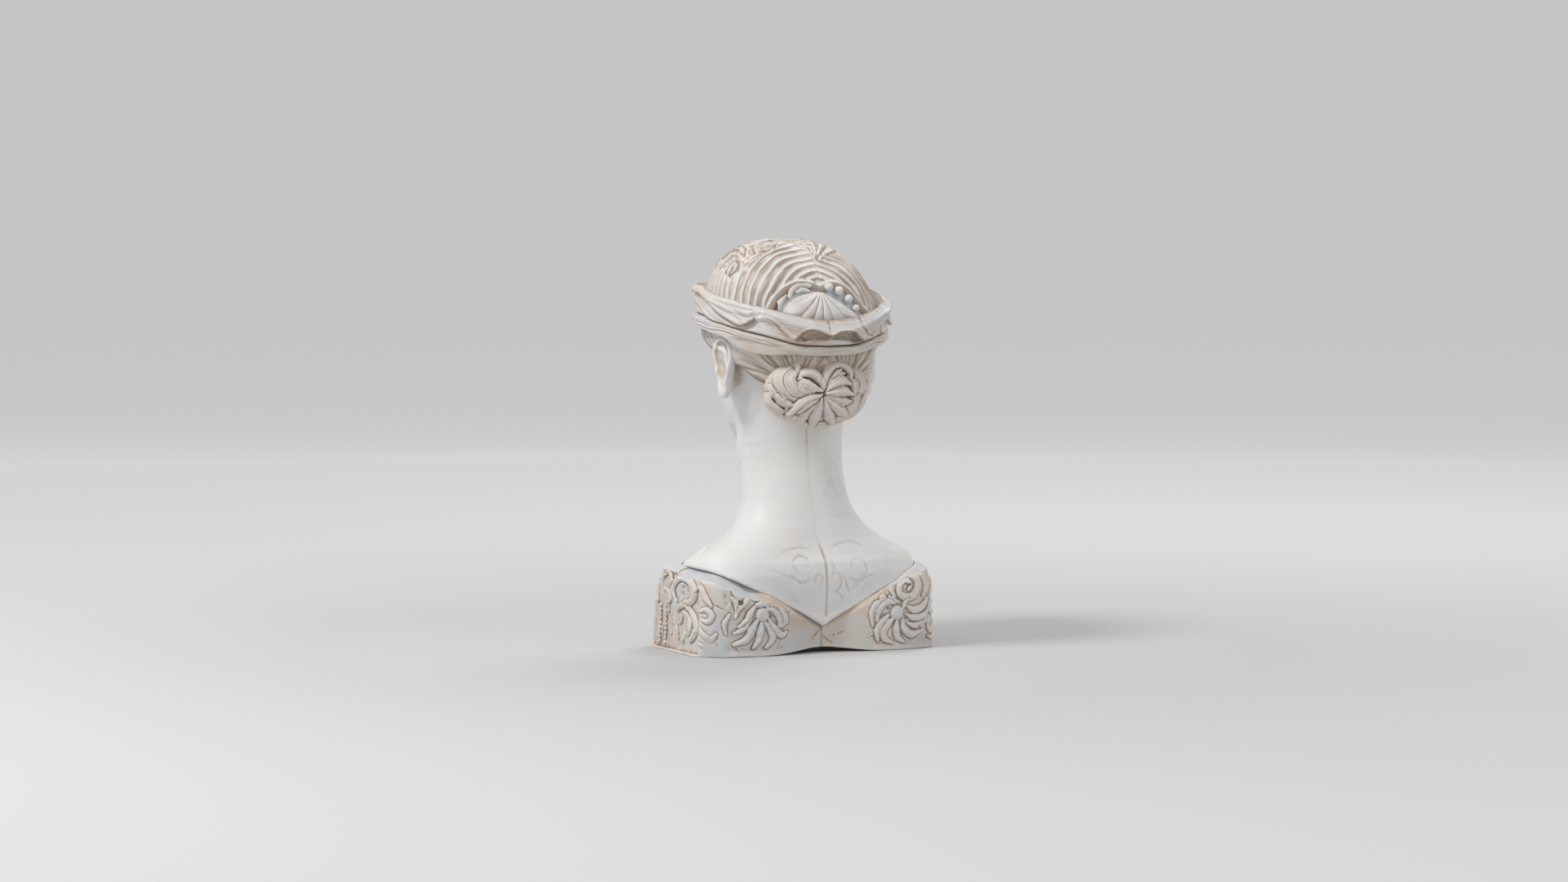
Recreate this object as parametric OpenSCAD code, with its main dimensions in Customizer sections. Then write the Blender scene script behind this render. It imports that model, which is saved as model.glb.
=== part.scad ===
// Marble bust of a woman with bound hair, pieced from separately carved blocks.
// The white head block stands in a two-part bodice; the hair, the bands and the knot are
// carved apart and set with bronze dowels. Millimetres, +Z up, the face looks along -Y.

/* [Overall] */
// Height of the bust from its bed to the crown of the hair
bust_h = 420; // [380:1:460]
// Turn of the head about the neck, positive towards the sitter's right
head_turn = 4.5; // [0:0.5:8]

/* [Head] */
// Half width of the skull under the hair
skull_half_w = 75; // [72:1:77]
// Half width of the head over the hair
hair_half_w = 89; // [86:1:92]
// Width of the upper fillet at the sides of the head
upper_band_w = 36; // [30:1:40]
// How far the upper fillet dips at the back
upper_band_dip = 40; // [25:1:44]
// Width of the lower fillet
lower_band_w = 15; // [11:1:16]
// Half width of the knot of hair on the nape
knot_half_w = 58; // [52:1:62]

/* [Bodice] */
// Half width of the bodice at its bed
bodice_half_w = 135; // [130:1:138]
// Height of the lowest point of the V neckline
neckline_low = 34; // [30:1:44]
// Height of the neckline where it reaches the shoulder
neckline_high = 95; // [90:1:97]
// How far the valley between the shoulder blades sinks into the bodice
valley = 13; // [6:1:14]

/* [Setting] */
// Mortar gap between stone blocks
gap = 0.4; // [0.3:0.1:0.8]
// Diameter of the bronze dowels in the bodice
dowel_d = 10; // [8:1:12]
// Diameter of the small bronze pins in the hair pieces
pin_d = 5; // [4:0.5:6]
// Diameter of the locating pin that the socle bush takes
socle_pin_d = 12; // [10:1:14]
// Depth of the socle bush
bush_depth = 46; // [36:1:50]

/* [Hidden] */

skin_white = [0.86, 0.85, 0.83];
hair_grey = [0.76, 0.73, 0.70];
bodice_tan = [0.80, 0.76, 0.71];
bronze = [0.62, 0.45, 0.24];
iron = [0.45, 0.45, 0.47];

// Centre of the skull and of the hair. Each is a rounded body around it: half width, reach to
// the face, to the nape, to the crown and downwards, squareness, lean of the crown forwards,
// and narrowing below the ears
skull_c = [0, -6, 318];
skull = [skull_half_w, 84, 88, bust_h - 16 - skull_c.z, 84, 2.2, 0.08, 0.20];
hair = [hair_half_w, 97, 103, bust_h - skull_c.z, 92, 2.35, 0.22, 0.24];
far = 300;
ring_n = 56;

// Skin of the torso and neck: height, middle y, half width, reach to the front, reach to the
// back, squareness
neck_key = [
    [ 20,  3, 126, 72, 73, 5.0],
    [ 60,  4, 124, 68, 73, 4.6],
    [ 80,  8, 121, 62, 69, 4.0],
    [ 92, 22, 117, 66, 52, 3.2],
    [ 98, 31, 111, 73, 39, 2.8],
    [106, 31,  98, 73, 35, 2.4],
    [114, 26,  84, 70, 37, 2.2],
    [123, 20,  73, 66, 40, 2.1],
    [135, 14,  64, 61, 42, 2.0],
    [150,  9,  57, 57, 43, 2.0],
    [168,  3,  54, 51, 45, 2.0],
    [190, -3,  53, 47, 47, 2.0],
    [215, -6,  54, 47, 49, 2.0],
    [262, -6,  56, 48, 56, 2.0],
    [300, -6,  50, 44, 60, 2.0]];
// Face and jaw, in the same columns: a plain canon, two thirds as wide as the bare head is high
face_key = [
    [191, -50, 18, 28, 28, 2.2],
    [196, -50, 27, 35, 34, 2.3],
    [206, -46, 39, 41, 42, 2.3],
    [221, -40, 50, 48, 50, 2.3],
    [240, -34, 60, 55, 54, 2.3],
    [270, -28, 69, 61, 56, 2.3],
    [300, -22, 73, 67, 56, 2.3],
    [330, -18, 73, 71, 56, 2.2]];
// Outside of the bodice, in the same columns
bodice_key = [
    [-4,  0, bodice_half_w,      80, 82, 6.0],
    [20,  0, bodice_half_w - 1,  80, 82, 6.0],
    [48,  0, bodice_half_w - 2,  77, 82, 6.0],
    [68,  0, bodice_half_w - 3,  71, 81, 6.0],
    [82,  0, bodice_half_w - 5,  62, 79, 5.4],
    [92,  2, bodice_half_w - 10, 54, 74, 4.8],
    [100, 4, bodice_half_w - 20, 46, 68, 4.2]];

// Tenon of the head block: half width, front, back, corner radius, and where it meets the chest
tenon_half_w = 74;
tenon_front = -44;
tenon_back = 46;
tenon_r = 14;
tenon_top = 90;

// Fillets: heights of their edges over the middle of the head, and how far they drop to the nape
lower_band_z = 340;
lower_band_drop = 35;
band_bed = 1.2;
upper_band_z = 334;
upper_band_rise = 10;
band_t = 9;
band_n = 72;

// Hairline in side view, from the brow over the ear to the nape
hairline = [[-140, 345], [-95, 336], [-55, 322], [-18, 305], [40, 284], [66, 262], [90, 240],
            [140, 225]];

dowel_in_stone = 24;
pin_l = 22;
dowel_y = [-14, 22];
dowel_z = 26;
cramp_w = 40;
cramp_t = 6;
cramp_leg = 18;
arch_h = 7;
arch_half_w = 50;
arch_in = 22;

// Cubic curve through the four values p a b q, a at 0 and b at 1
function curve4(p, a, b, q, u) = a + 0.5 * u * (b - p + u * (2 * p - 5 * a + 4 * b - q
                                 + u * (3 * (a - b) + q - p)));
function span_of(key, z, i = 0) = i >= len(key) - 2 || z < key[i + 1][0] ? i : span_of(key, z, i + 1);
// The row of a table at height z, on a smooth curve through its rows
function row_at(key, z) =
    let (i = span_of(key, z), n = len(key) - 1, u = (z - key[i][0]) / (key[i + 1][0] - key[i][0]))
    [for (k = [0 : 5]) k == 0 ? z
        : curve4(key[max(i - 1, 0)][k], key[i][k], key[i + 1][k], key[min(i + 2, n)][k], u)];
function signed_pow(v, p) = sign(v) * pow(abs(v), p);
// One closed ring of a row, grown outwards by grow and turned about the neck by turn
function ring(row, grow, turn) = [for (i = [0 : ring_n - 1])
    let (a = 360 * i / ring_n, e = 2 / row[5],
         x = (row[2] + grow) * signed_pow(cos(a), e),
         y = row[1] + ((sin(a) < 0 ? row[3] : row[4]) + grow) * signed_pow(sin(a), e))
    [x * cos(turn) + y * sin(turn), -x * sin(turn) + y * cos(turn), row[0]]];
// The neck takes up the head's turn between the shoulders and the jaw
function turn_at(z) = head_turn * min(1, max(0, (z - 110) / 80));

// Closed solid over a stack of rings
module skin_over(rings) {
    n = len(rings[0]);
    last = (len(rings) - 1) * n;
    polyhedron(
        points = [for (r = rings) each r],
        faces = [
            [for (i = [0 : n - 1]) i],
            for (k = [0 : len(rings) - 2], i = [0 : n - 1])
                each [[k * n + i, (k + 1) * n + i, k * n + (i + 1) % n],
                      [k * n + (i + 1) % n, (k + 1) * n + i, (k + 1) * n + (i + 1) % n]],
            [for (i = [n - 1 : -1 : 0]) last + i]]);
}

module loft(key, low, high, steps, grow = 0, turned = false) {
    skin_over([for (s = [0 : steps])
        let (z = low + (high - low) * s / steps)
        ring(row_at(key, z), grow, turned ? turn_at(z) : 0)]);
}

// Reach of a rounded body along a unit direction from its centre
function reach_of(body, d) = pow(
    pow(abs(d.x) / body[0], body[5])
    + pow(abs(d.y) / (d.y < 0 ? body[1] : body[2]), body[5])
    + pow(abs(d.z) / (d.z < 0 ? body[4] : body[3]), body[5]), -1 / body[5]);
function direction(az, el) = [cos(el) * sin(az), cos(el) * cos(az), sin(el)];
// Point at an azimuth from the nape and an elevation, out away from a rounded body
function over(body, az, el, out) =
    let (d = direction(az, el), p = (reach_of(body, d) + out) * d)
    skull_c + [p.x * (1 - body[7] * min(1, max(0, -p.z) / 70)), p.y - body[6] * max(0, p.z), p.z];
// Elevation at which the surface out away from the hair stands at height z
function el_at(az, z, out, el = 0, tries = 8) = tries == 0 ? el
    : let (p = (reach_of(hair, direction(az, el)) + out) * direction(az, el))
      el_at(az, z, out, asin(max(-0.97, min(0.97, (z - skull_c.z) / norm(p)))), tries - 1);

// A rounded body grown by out, as a solid
module rounded(body, out, steps = 22) {
    skin_over([for (s = [0 : steps])
        let (el = -88 + 176 * s / steps)
        [for (i = [0 : ring_n - 1]) over(body, 90 - 360 * i / ring_n, el, out)]]);
}

// Turns a part of the head with the head
module with_head() {
    rotate([0, 0, -head_turn]) children();
}

// A meshed shape: keeps its own size, and joins its children into one skin
module one_skin() {
    resize([0, 0, 0]) children();
}

module tenon(grow) {
    linear_extrude(tenon_top)
        offset(r = tenon_r + grow, $fn = 48)
            translate([-tenon_half_w + tenon_r, tenon_front + tenon_r])
                square([2 * (tenon_half_w - tenon_r), tenon_back - tenon_front - 2 * tenon_r]);
}

// Neckline in front view: a V with slightly bowed sides, the same on the chest and on the back
neckline_half = bodice_half_w - 13;
function neckline_z(x) = neckline_low + (neckline_high - neckline_low)
                         * pow(min(1, abs(x) / neckline_half), 0.9);
module above_neckline(lift) {
    steps = 12;
    rotate([90, 0, 0]) translate([0, 0, -far / 2]) linear_extrude(far)
        polygon([for (i = [-steps : steps]) let (x = neckline_half * i / steps)
                    [x, neckline_z(x) + lift],
                 [far / 2, neckline_high + lift], [far / 2, far * 2], [-far / 2, far * 2],
                 [-far / 2, neckline_high + lift]]);
}

module nose() {
    hull() {
        translate([0, -83, 306]) sphere(4, $fn = 14);
        translate([0, -103, 259]) sphere(7, $fn = 18);
        for (side = [-1, 1]) translate([side * 11, -88, 256]) sphere(5.5, $fn = 14);
    }
}

module ear(side) {
    translate([side * 72, -2, 285]) rotate([12, side * 6, side * -18]) hull() {
        translate([side * 3, 4, 22]) sphere(7, $fn = 14);
        translate([side * 5, 10, 14]) sphere(7, $fn = 14);
        translate([side * 1, 0, -26]) sphere(5.5, $fn = 14);
    }
}

module head_and_neck() {
    color(skin_white) difference() {
        one_skin() {
            intersection() {
                loft(neck_key, 20, 300, 34, turned = true);
                union() {
                    above_neckline(gap);
                    translate([-far / 2, -far / 2, neckline_high]) cube(far);
                }
            }
            tenon(0);
            with_head() {
                rounded(skull, 0);
                loft(face_key, 191, 330, 16);
                nose();
                for (side = [-1, 1]) ear(side);
            }
        }
        bodice_dowel_holes();
        socle_bush_hole();
        with_head() {
            chignon_pin(gap / 2);
            comb_pin(gap / 2);
            cap_pins(gap / 2);
        }
    }
}

module hair_region() {
    rotate([90, 0, 90]) translate([0, 0, -far / 2]) linear_extrude(far)
        polygon(concat(hairline, [[140, far * 2], [-140, far * 2]]));
}

module hair_cap() {
    color(hair_grey) with_head() difference() {
        one_skin() difference() {
            intersection() {
                rounded(hair, 0);
                hair_region();
            }
            rounded(skull, gap);
            rotate([0, 0, head_turn]) loft(neck_key, 100, 300, 18, grow = gap, turned = true);
            loft(face_key, 191, 330, 16, grow = gap);
            for (side = [-1, 1]) ear(side);
        }
        chignon_pin(gap / 2);
        comb_pin(gap / 2);
        cap_pins(gap / 2);
        upper_pins(gap / 2);
        lower_pins(gap / 2);
    }
}

// Heights of the edges of the fillets at an azimuth from the nape
function lower_mid(az) = lower_band_z - lower_band_drop * pow((1 + cos(az)) / 2, 3);
function lower_foot(az) = lower_mid(az) - lower_band_w / 2;
function lower_lip(az) = lower_mid(az) + lower_band_w / 2;
function upper_foot(az) = lower_lip(az) + gap;
function upper_lip(az) = upper_band_z + upper_band_w
    - upper_band_dip * pow((1 + cos(az)) / 2, 3.5) + upper_band_rise * pow((1 - cos(az)) / 2, 2);

// One section of a fillet: its inner face lies on the hair, its outer face is bowed,
// and its upper lip leans out by flare
function band_section(az, foot, lip, flare) =
    let (on_hair = function (z) over(hair, az, el_at(az, z, 0), band_bed),
         low = on_hair(foot), mid = on_hair((foot + lip) / 2), top = on_hair(lip),
         out = [sin(az), cos(az), 0], w = lip - foot)
    [low, mid, top, top + (flare + 2) * out, top + (flare + band_t * 0.6) * out - [0, 0, 3],
     mid + band_t * out + [0, 0, w * 0.12], mid + band_t * out - [0, 0, w * 0.2],
     low + band_t * 0.6 * out];

// Closed loop over sections, with no ends
module loop_over(rings) {
    n = len(rings[0]);
    count = len(rings);
    polyhedron(
        points = [for (r = rings) each r],
        faces = [for (k = [0 : count - 1], i = [0 : n - 1])
            let (a = k * n, b = ((k + 1) % count) * n, j = (i + 1) % n)
            each [[a + i, a + j, b + i], [a + j, b + j, b + i]]]);
}

module upper_fillet() {
    color(hair_grey) with_head() difference() {
        loop_over([for (i = [0 : band_n - 1]) let (az = 360 * i / band_n)
            band_section(az, upper_foot(az), upper_lip(az), 7)]);
        upper_pins(gap / 2);
    }
}

module lower_fillet() {
    color(hair_grey) with_head() difference() {
        loop_over([for (i = [0 : band_n - 1]) let (az = 360 * i / band_n)
            band_section(az, lower_foot(az), lower_lip(az), 2)]);
        lower_pins(gap / 2);
    }
}

// Knot of hair: an oval cushion of six lobes that sits on the nape
knot_c = [0, 78, 263];
knot_reach_y = 27;
knot_half_h = 36;
module knot_body() {
    steps = 16;
    skin_over([for (s = [0 : steps])
        let (el = -86 + 172 * s / steps)
        [for (i = [0 : 47])
            let (a = -7.5 * i, petal = 1 + 0.03 * cos(6 * a + 90) * pow(cos(el), 2),
                 full = pow(cos(el), 0.8) * petal)
            knot_c + [knot_half_w * full * cos(a), knot_reach_y * sin(el),
                      knot_half_h * full * sin(a)]]]);
}

module chignon() {
    color(hair_grey) with_head() difference() {
        one_skin() difference() {
            knot_body();
            rounded(hair, gap);
            rotate([0, 0, head_turn]) loft(neck_key, 100, 300, 18, grow = gap, turned = true);
        }
        chignon_pin(gap / 2);
    }
}

// Scallop comb: a fan of flutes that opens downwards from its hinge, on the hair above the fillet
comb_el = 21;
comb_drop = 12;
comb_rise = 3;
comb_spread = 22;
comb_rim_t = 3;
comb_crown_t = 4;
comb_pin_out = 3;
module shell_comb() {
    rims = 3;
    n = 42;
    color(hair_grey) with_head() difference() {
        one_skin() skin_over([for (k = [0 : 2 * rims + 1])
            let (under = k <= rims,
                 t = under ? 0.12 + k / rims * 0.88 : 1 - (k - rims - 1) / rims * 0.88)
            [for (i = [0 : n - 1])
                let (a = 360 * i / n, reach = sin(a) > 0 ? comb_drop : comb_rise,
                     flute = 1 + 0.2 * cos(14 * a),
                     lift = under ? 0 : comb_rim_t + comb_crown_t * flute * (1 - t * t))
                over(hair, comb_spread * t * cos(a), comb_el - reach * t * sin(a), gap + lift)]]);
        comb_pin(gap / 2);
    }
}

valley_half_w = 34;
valley_top_z = 60;
valley_fade = 60;
// Outside of the bodice: the loft with a valley down the middle of the back and of the chest
function with_valley(points) = [for (p = points)
    let (sink = valley * exp(-pow(p.x / valley_half_w, 2))
                * max(0, 1 - max(0, p.z - valley_top_z) / valley_fade))
    p - [0, sign(p.y) * min(sink, abs(p.y)), 0]];
module bodice_outside() {
    steps = 18;
    skin_over([for (s = [0 : steps]) let (z = -4 + 104 * s / steps)
        with_valley(ring(row_at(bodice_key, z), 0, 0))]);
}

module bodice_block() {
    arch_r = (pow(arch_half_w, 2) + pow(arch_h, 2)) / (2 * arch_h);
    difference() {
        one_skin() difference() {
            bodice_outside();
            above_neckline(0);
            tenon(gap);
            translate([0, far, arch_h - arch_r]) rotate([90, 0, 0])
                cylinder(r = arch_r, h = far - bodice_key[0][4] + arch_in, $fn = 120);
        }
        translate([-far, -far, -far]) cube([2 * far, 2 * far, far]);
    }
}

module bodice_half(side) {
    color(bodice_tan) difference() {
        intersection() {
            bodice_block();
            translate([side > 0 ? gap / 4 : -far - gap / 4, -far, -1]) cube([far, 2 * far, far]);
        }
        bodice_dowel_holes();
        cramp_at(1, gap / 2);
        cramp_at(-1, gap / 2);
    }
}

module bodice_left() { bodice_half(1); }
module bodice_right() { bodice_half(-1); }

// Bronze dowels lock each half of the bodice to the tenon
module bodice_rods(grow) {
    for (side = [-1, 1], y = dowel_y)
        translate([side * (tenon_half_w - dowel_in_stone - grow), y, dowel_z]) rotate([0, side * 90, 0])
            cylinder(d = dowel_d + 2 * grow, h = 2 * dowel_in_stone + 2 * grow, $fn = 32);
}
module bodice_dowel_holes() { bodice_rods(gap / 2); }
module bodice_dowels() { color(bronze) bodice_rods(0); }

// Iron cramps: a bar with two legs, let into the bed across the joint of the bodice
cramp_y = 54;
module cramp_at(side, grow) {
    bar_z = 2;
    bar_h = cramp_t + 6;
    translate([-cramp_w / 2 - grow, side * cramp_y - cramp_t / 2 - grow, bar_z - grow])
        cube([cramp_w + 2 * grow, cramp_t + 2 * grow, bar_h + 2 * grow]);
    for (x = [-1, 1])
        translate([x * (cramp_w - cramp_t) / 2, side * cramp_y, bar_z + bar_h])
            cylinder(d = cramp_t + 2 * grow, h = cramp_leg + grow, $fn = 32);
}
module back_cramp() { color(iron) cramp_at(1, 0); }
module front_cramp() { color(iron) cramp_at(-1, 0); }

// Pins of the hair pieces run from the piece into the head block
knot_pin_d = 8;
knot_pin_l = 52;
knot_pin_out = 12;
cap_pin_x = 26;
cap_pin_y = -20;
module chignon_pin(grow) {
    translate([0, knot_c.y + knot_pin_out - knot_pin_l - grow, knot_c.z]) rotate([-90, 0, 0])
        cylinder(d = knot_pin_d + 2 * grow, h = knot_pin_l + 2 * grow, $fn = 32);
}
module comb_pin(grow) {
    el = comb_el - comb_drop / 3;
    translate(over(hair, 0, el, comb_pin_out - pin_l - grow)) rotate([el - 90, 0, 0])
        cylinder(d = pin_d + 2 * grow, h = pin_l + 2 * grow, $fn = 32);
}
module cap_pins(grow) {
    for (side = [-1, 1])
        translate([side * cap_pin_x, cap_pin_y, bust_h - 38 - grow])
            cylinder(d = pin_d + 2 * grow, h = pin_l + 4 + 2 * grow, $fn = 32);
}
// Four level pins round a fillet, from the band into the hair
pin_in_hair = 8.5;
pin_in_band = 2.6;
function pin_az(i) = 40 + 90 * i;
module fillet_pins(heights, grow) {
    for (i = [0 : 3])
        let (az = pin_az(i), p = over(hair, az, el_at(az, heights[i], 0), 0))
        translate(p) rotate([-90, 0, -az]) translate([0, 0, -pin_in_hair - grow])
            cylinder(d = pin_d - 1 + 2 * grow, h = pin_in_hair + pin_in_band + 2 * grow, $fn = 32);
}
module upper_pins(grow) {
    fillet_pins([for (i = [0 : 3]) let (az = pin_az(i))
        (upper_foot(az) + upper_lip(az)) / 2], grow);
}
module lower_pins(grow) {
    fillet_pins([for (i = [0 : 3]) lower_mid(pin_az(i))], grow);
}

module cap_dowels() { color(bronze) with_head() cap_pins(0); }
module chignon_dowel() { color(bronze) with_head() chignon_pin(0); }
module comb_dowel() { color(bronze) with_head() comb_pin(0); }
module upper_fillet_pins() { color(bronze) with_head() upper_pins(0); }
module lower_fillet_pins() { color(bronze) with_head() lower_pins(0); }

// Blind bronze bush in the foot of the tenon, for the locating pin of a socle
bush_wall = 5;
bush_r = socle_pin_d / 2 + 0.1;
module socle_bush_hole() {
    translate([0, 0, -1]) cylinder(
        r = bush_r + bush_wall + gap / 2, h = bush_depth + bush_wall + 1, $fn = 48);
}
module socle_bush() {
    color(bronze) difference() {
        cylinder(r = bush_r + bush_wall, h = bush_depth + bush_wall - gap, $fn = 48);
        translate([0, 0, -1]) cylinder(r = bush_r, h = bush_depth + 1, $fn = 48);
    }
}

head_and_neck();
hair_cap();
upper_fillet();
lower_fillet();
chignon();
shell_comb();
bodice_left();
bodice_right();
back_cramp();
front_cramp();
bodice_dowels();
cap_dowels();
chignon_dowel();
comb_dowel();
upper_fillet_pins();
lower_fillet_pins();
socle_bush();
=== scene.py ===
"""A pieced marble bust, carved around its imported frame: the carving is worked out in millimetres
in the frame of the row (+Z up, the chest faces -Y), and each mesh is written in metres."""

import math

import bpy
import numpy as np
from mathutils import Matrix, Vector


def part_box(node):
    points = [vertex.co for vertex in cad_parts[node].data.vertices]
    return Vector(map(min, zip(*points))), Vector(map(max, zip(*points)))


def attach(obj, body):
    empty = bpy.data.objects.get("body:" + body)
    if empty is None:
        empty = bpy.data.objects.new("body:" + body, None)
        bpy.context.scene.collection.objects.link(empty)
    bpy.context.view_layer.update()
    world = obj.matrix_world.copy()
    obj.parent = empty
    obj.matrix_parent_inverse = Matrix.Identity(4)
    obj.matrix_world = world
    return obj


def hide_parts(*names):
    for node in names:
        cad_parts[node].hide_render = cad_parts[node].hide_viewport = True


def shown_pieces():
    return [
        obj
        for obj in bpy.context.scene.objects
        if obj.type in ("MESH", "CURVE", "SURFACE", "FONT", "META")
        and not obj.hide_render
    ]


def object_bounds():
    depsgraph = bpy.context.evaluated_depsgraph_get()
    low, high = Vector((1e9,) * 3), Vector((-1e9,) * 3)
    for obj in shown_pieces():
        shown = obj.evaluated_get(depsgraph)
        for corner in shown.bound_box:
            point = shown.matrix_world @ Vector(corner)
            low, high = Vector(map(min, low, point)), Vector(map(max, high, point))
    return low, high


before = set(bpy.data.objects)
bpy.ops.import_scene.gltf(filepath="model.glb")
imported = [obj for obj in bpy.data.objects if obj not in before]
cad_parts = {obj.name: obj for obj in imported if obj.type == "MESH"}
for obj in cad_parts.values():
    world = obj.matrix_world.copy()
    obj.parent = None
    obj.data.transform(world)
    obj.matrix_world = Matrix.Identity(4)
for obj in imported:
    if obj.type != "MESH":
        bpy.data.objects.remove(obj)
cad_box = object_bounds()

MM = 0.001
COARSE = 1.0


# ---------------------------------------------------------------- places taken from the frame
def box_mm(node):
    low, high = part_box(node)
    return np.array(low) / MM, np.array(high) / MM


CROWN_Z = cad_box[1].z / MM
BODICE_HALF_W = cad_box[1].x / MM
BODICE_TOP = box_mm("bodice_left")[1][2]
KNOT_LOW, KNOT_HIGH = box_mm("chignon")
BUSH_R = (box_mm("socle_bush")[1][0] - box_mm("socle_bush")[0][0]) / 2
HEAD_TURN = math.radians(4.5)
SKULL_C = np.array([0.0, -6.0, 318.0])
# half width, reach to the face, nape, crown and down, squareness, lean forwards, narrowing below
SKULL = (75, 84, 88, CROWN_Z - 16 - 318, 84, 2.2, 0.08, 0.20)
HAIR = (89, 97, 103, CROWN_Z - 318, 92, 2.35, 0.22, 0.24)
GAP = 0.4

# Skin of the torso and neck: height, middle y, half width, reach to front and back, squareness
NECK_ROWS = [
    (20, 3, 126, 72, 73, 5.0), (60, 4, 124, 68, 73, 4.6), (80, 8, 121, 62, 69, 4.0),
    (92, 22, 117, 66, 52, 3.2), (98, 31, 111, 73, 39, 2.8), (106, 31, 98, 73, 35, 2.4),
    (114, 26, 84, 70, 37, 2.2), (123, 20, 73, 66, 40, 2.1), (135, 14, 64, 61, 42, 2.0),
    (150, 9, 57, 57, 43, 2.0), (168, 3, 54, 51, 45, 2.0), (190, -3, 53, 47, 47, 2.0),
    (215, -6, 54, 47, 49, 2.0), (262, -6, 56, 48, 56, 2.0), (300, -6, 50, 44, 60, 2.0)]
FACE_ROWS = [
    (190, -58, 15, 22, 20, 2.0), (195, -52, 25, 34, 30, 2.0), (204, -44, 36, 44, 42, 2.0),
    (217, -34, 48, 53, 48, 2.0), (231, -26, 58, 61, 50, 2.0), (250, -18, 65, 69, 52, 2.0),
    (272, -12, 70, 76, 54, 2.05), (296, -9, 73, 79, 56, 2.1), (320, -8, 73, 81, 60, 2.15),
    (345, -8, 71, 79, 60, 2.2)]
BODICE_ROWS = [
    (-4, 0, BODICE_HALF_W, 80, 82, 6.0), (20, 0, BODICE_HALF_W - 1, 80, 82, 6.0),
    (48, 0, BODICE_HALF_W - 2, 77, 82, 6.0), (68, 0, BODICE_HALF_W - 3, 71, 81, 6.0),
    (82, 0, BODICE_HALF_W - 5, 62, 79, 5.4), (92, 2, BODICE_HALF_W - 10, 54, 74, 4.8),
    (100, 4, BODICE_HALF_W - 20, 46, 68, 4.2)]
NECKLINE_LOW = 34.0
NECKLINE_HALF = BODICE_HALF_W - 13
VALLEY = 13.0


# ---------------------------------------------------------------- small functions of numbers
def step(low, high, v):
    t = np.clip((v - low) / (high - low), 0, 1)
    return t * t * (3 - 2 * t)


def join(a, b, k):
    """Smooth union of two distances."""
    h = np.clip(0.5 + 0.5 * (b - a) / k, 0, 1)
    return b * (1 - h) + a * h - k * h * (1 - h)


def cut(a, b, k):
    """Distance a with the solid b taken away, its edge rounded by k."""
    return -join(-a, b, k)


def both(a, b, k):
    return -join(-a, -b, k)


def spline(points, per=6):
    """Smooth line through the points."""
    p = np.array(points, float)
    p = np.vstack([2 * p[0] - p[1], p, 2 * p[-1] - p[-2]])
    t = np.linspace(0, 1, per, endpoint=False)[:, None]
    out = []
    for a, b, c, d in zip(p[:-3], p[1:-2], p[2:-1], p[3:]):
        out.append(b + 0.5 * t * (c - a + t * (2 * a - 5 * b + 4 * c - d + t * (3 * (b - c) + d - a))))
    return np.vstack(out + [p[-2:-1]])


LATTICE = np.random.default_rng(7).random((32, 32, 32)) * 2 - 1


def grain(points, size):
    """Smooth noise from -1 to 1 with bumps of about the given size."""
    p = points / size
    cell = np.floor(p).astype(int)
    t = p - cell
    t = t * t * (3 - 2 * t)
    total = np.zeros(len(p))
    for corner in range(8):
        o = np.array([corner & 1, corner >> 1 & 1, corner >> 2])
        w = np.prod(np.where(o == 1, t, 1 - t), axis=1)
        i = (cell + o) % 32
        total += w * LATTICE[i[:, 0], i[:, 1], i[:, 2]]
    return total


def to_head(p, turn=HEAD_TURN):
    """Row frame to the frame of the head, which is turned about the neck."""
    c, s = np.cos(turn), np.sin(turn)
    return np.stack([p[:, 0] * c - p[:, 1] * s, p[:, 0] * s + p[:, 1] * c, p[:, 2]], 1)


def from_head(p):
    return to_head(p, -HEAD_TURN)


# ---------------------------------------------------------------- the blocks under the carving
class Loft:
    """Solid through rounded sections at rising heights, as a signed distance."""

    def __init__(self, rows, turned=False, valley=0.0):
        key = np.array(rows, float)
        self.z = np.linspace(key[0, 0], key[-1, 0], 240)
        ext = np.vstack([key[:1], key, key[-1:]])
        i = np.clip(np.searchsorted(key[:, 0], self.z, side="right") - 1, 0, len(key) - 2)
        t = ((self.z - key[i, 0]) / (key[i + 1, 0] - key[i, 0]))[:, None]
        a, b, c, d = ext[i], ext[i + 1], ext[i + 2], ext[i + 3]
        self.rows = b + 0.5 * t * (c - a + t * (2 * a - 5 * b + 4 * c - d + t * (3 * (b - c) + d - a)))
        self.turned = turned
        self.valley = valley

    def at(self, z):
        return [np.interp(z, self.z, self.rows[:, k]) for k in range(1, 6)]

    def gauge(self, x, y, z):
        mid, half, front, back, n = self.at(z)
        depth = np.where(y < mid, front, back)
        a, b = np.abs(x) / half, np.abs(y - mid) / depth
        g = (a**n + b**n) ** (1 / n)
        return g, a, b, half, depth, n

    def __call__(self, p):
        x, y, z = p[:, 0], p[:, 1], p[:, 2]
        if self.turned:
            turn = HEAD_TURN * np.clip((z - 110) / 80, 0, 1)
            x, y = x * np.cos(turn) - y * np.sin(turn), x * np.sin(turn) + y * np.cos(turn)
        if self.valley:
            y = y + np.sign(y) * valley_depth(x, z)
        g, a, b, half, depth, n = self.gauge(x, y, z)
        rise = (self.gauge(x, y, z + 1)[0] - self.gauge(x, y, z - 1)[0]) / 2
        safe = np.maximum(g, 1e-3)
        gx, gy = (a / safe) ** (n - 1) / half, (b / safe) ** (n - 1) / depth
        d = (g - 1) / np.sqrt(gx**2 + gy**2 + rise**2 + 1e-9)
        return np.maximum(d, np.maximum(z - self.z[-1], self.z[0] - z))


def valley_depth(x, z):
    return VALLEY * np.exp(-((x / 34) ** 2)) * np.clip(1 - (z - 60) / 60, 0, 1)


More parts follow.
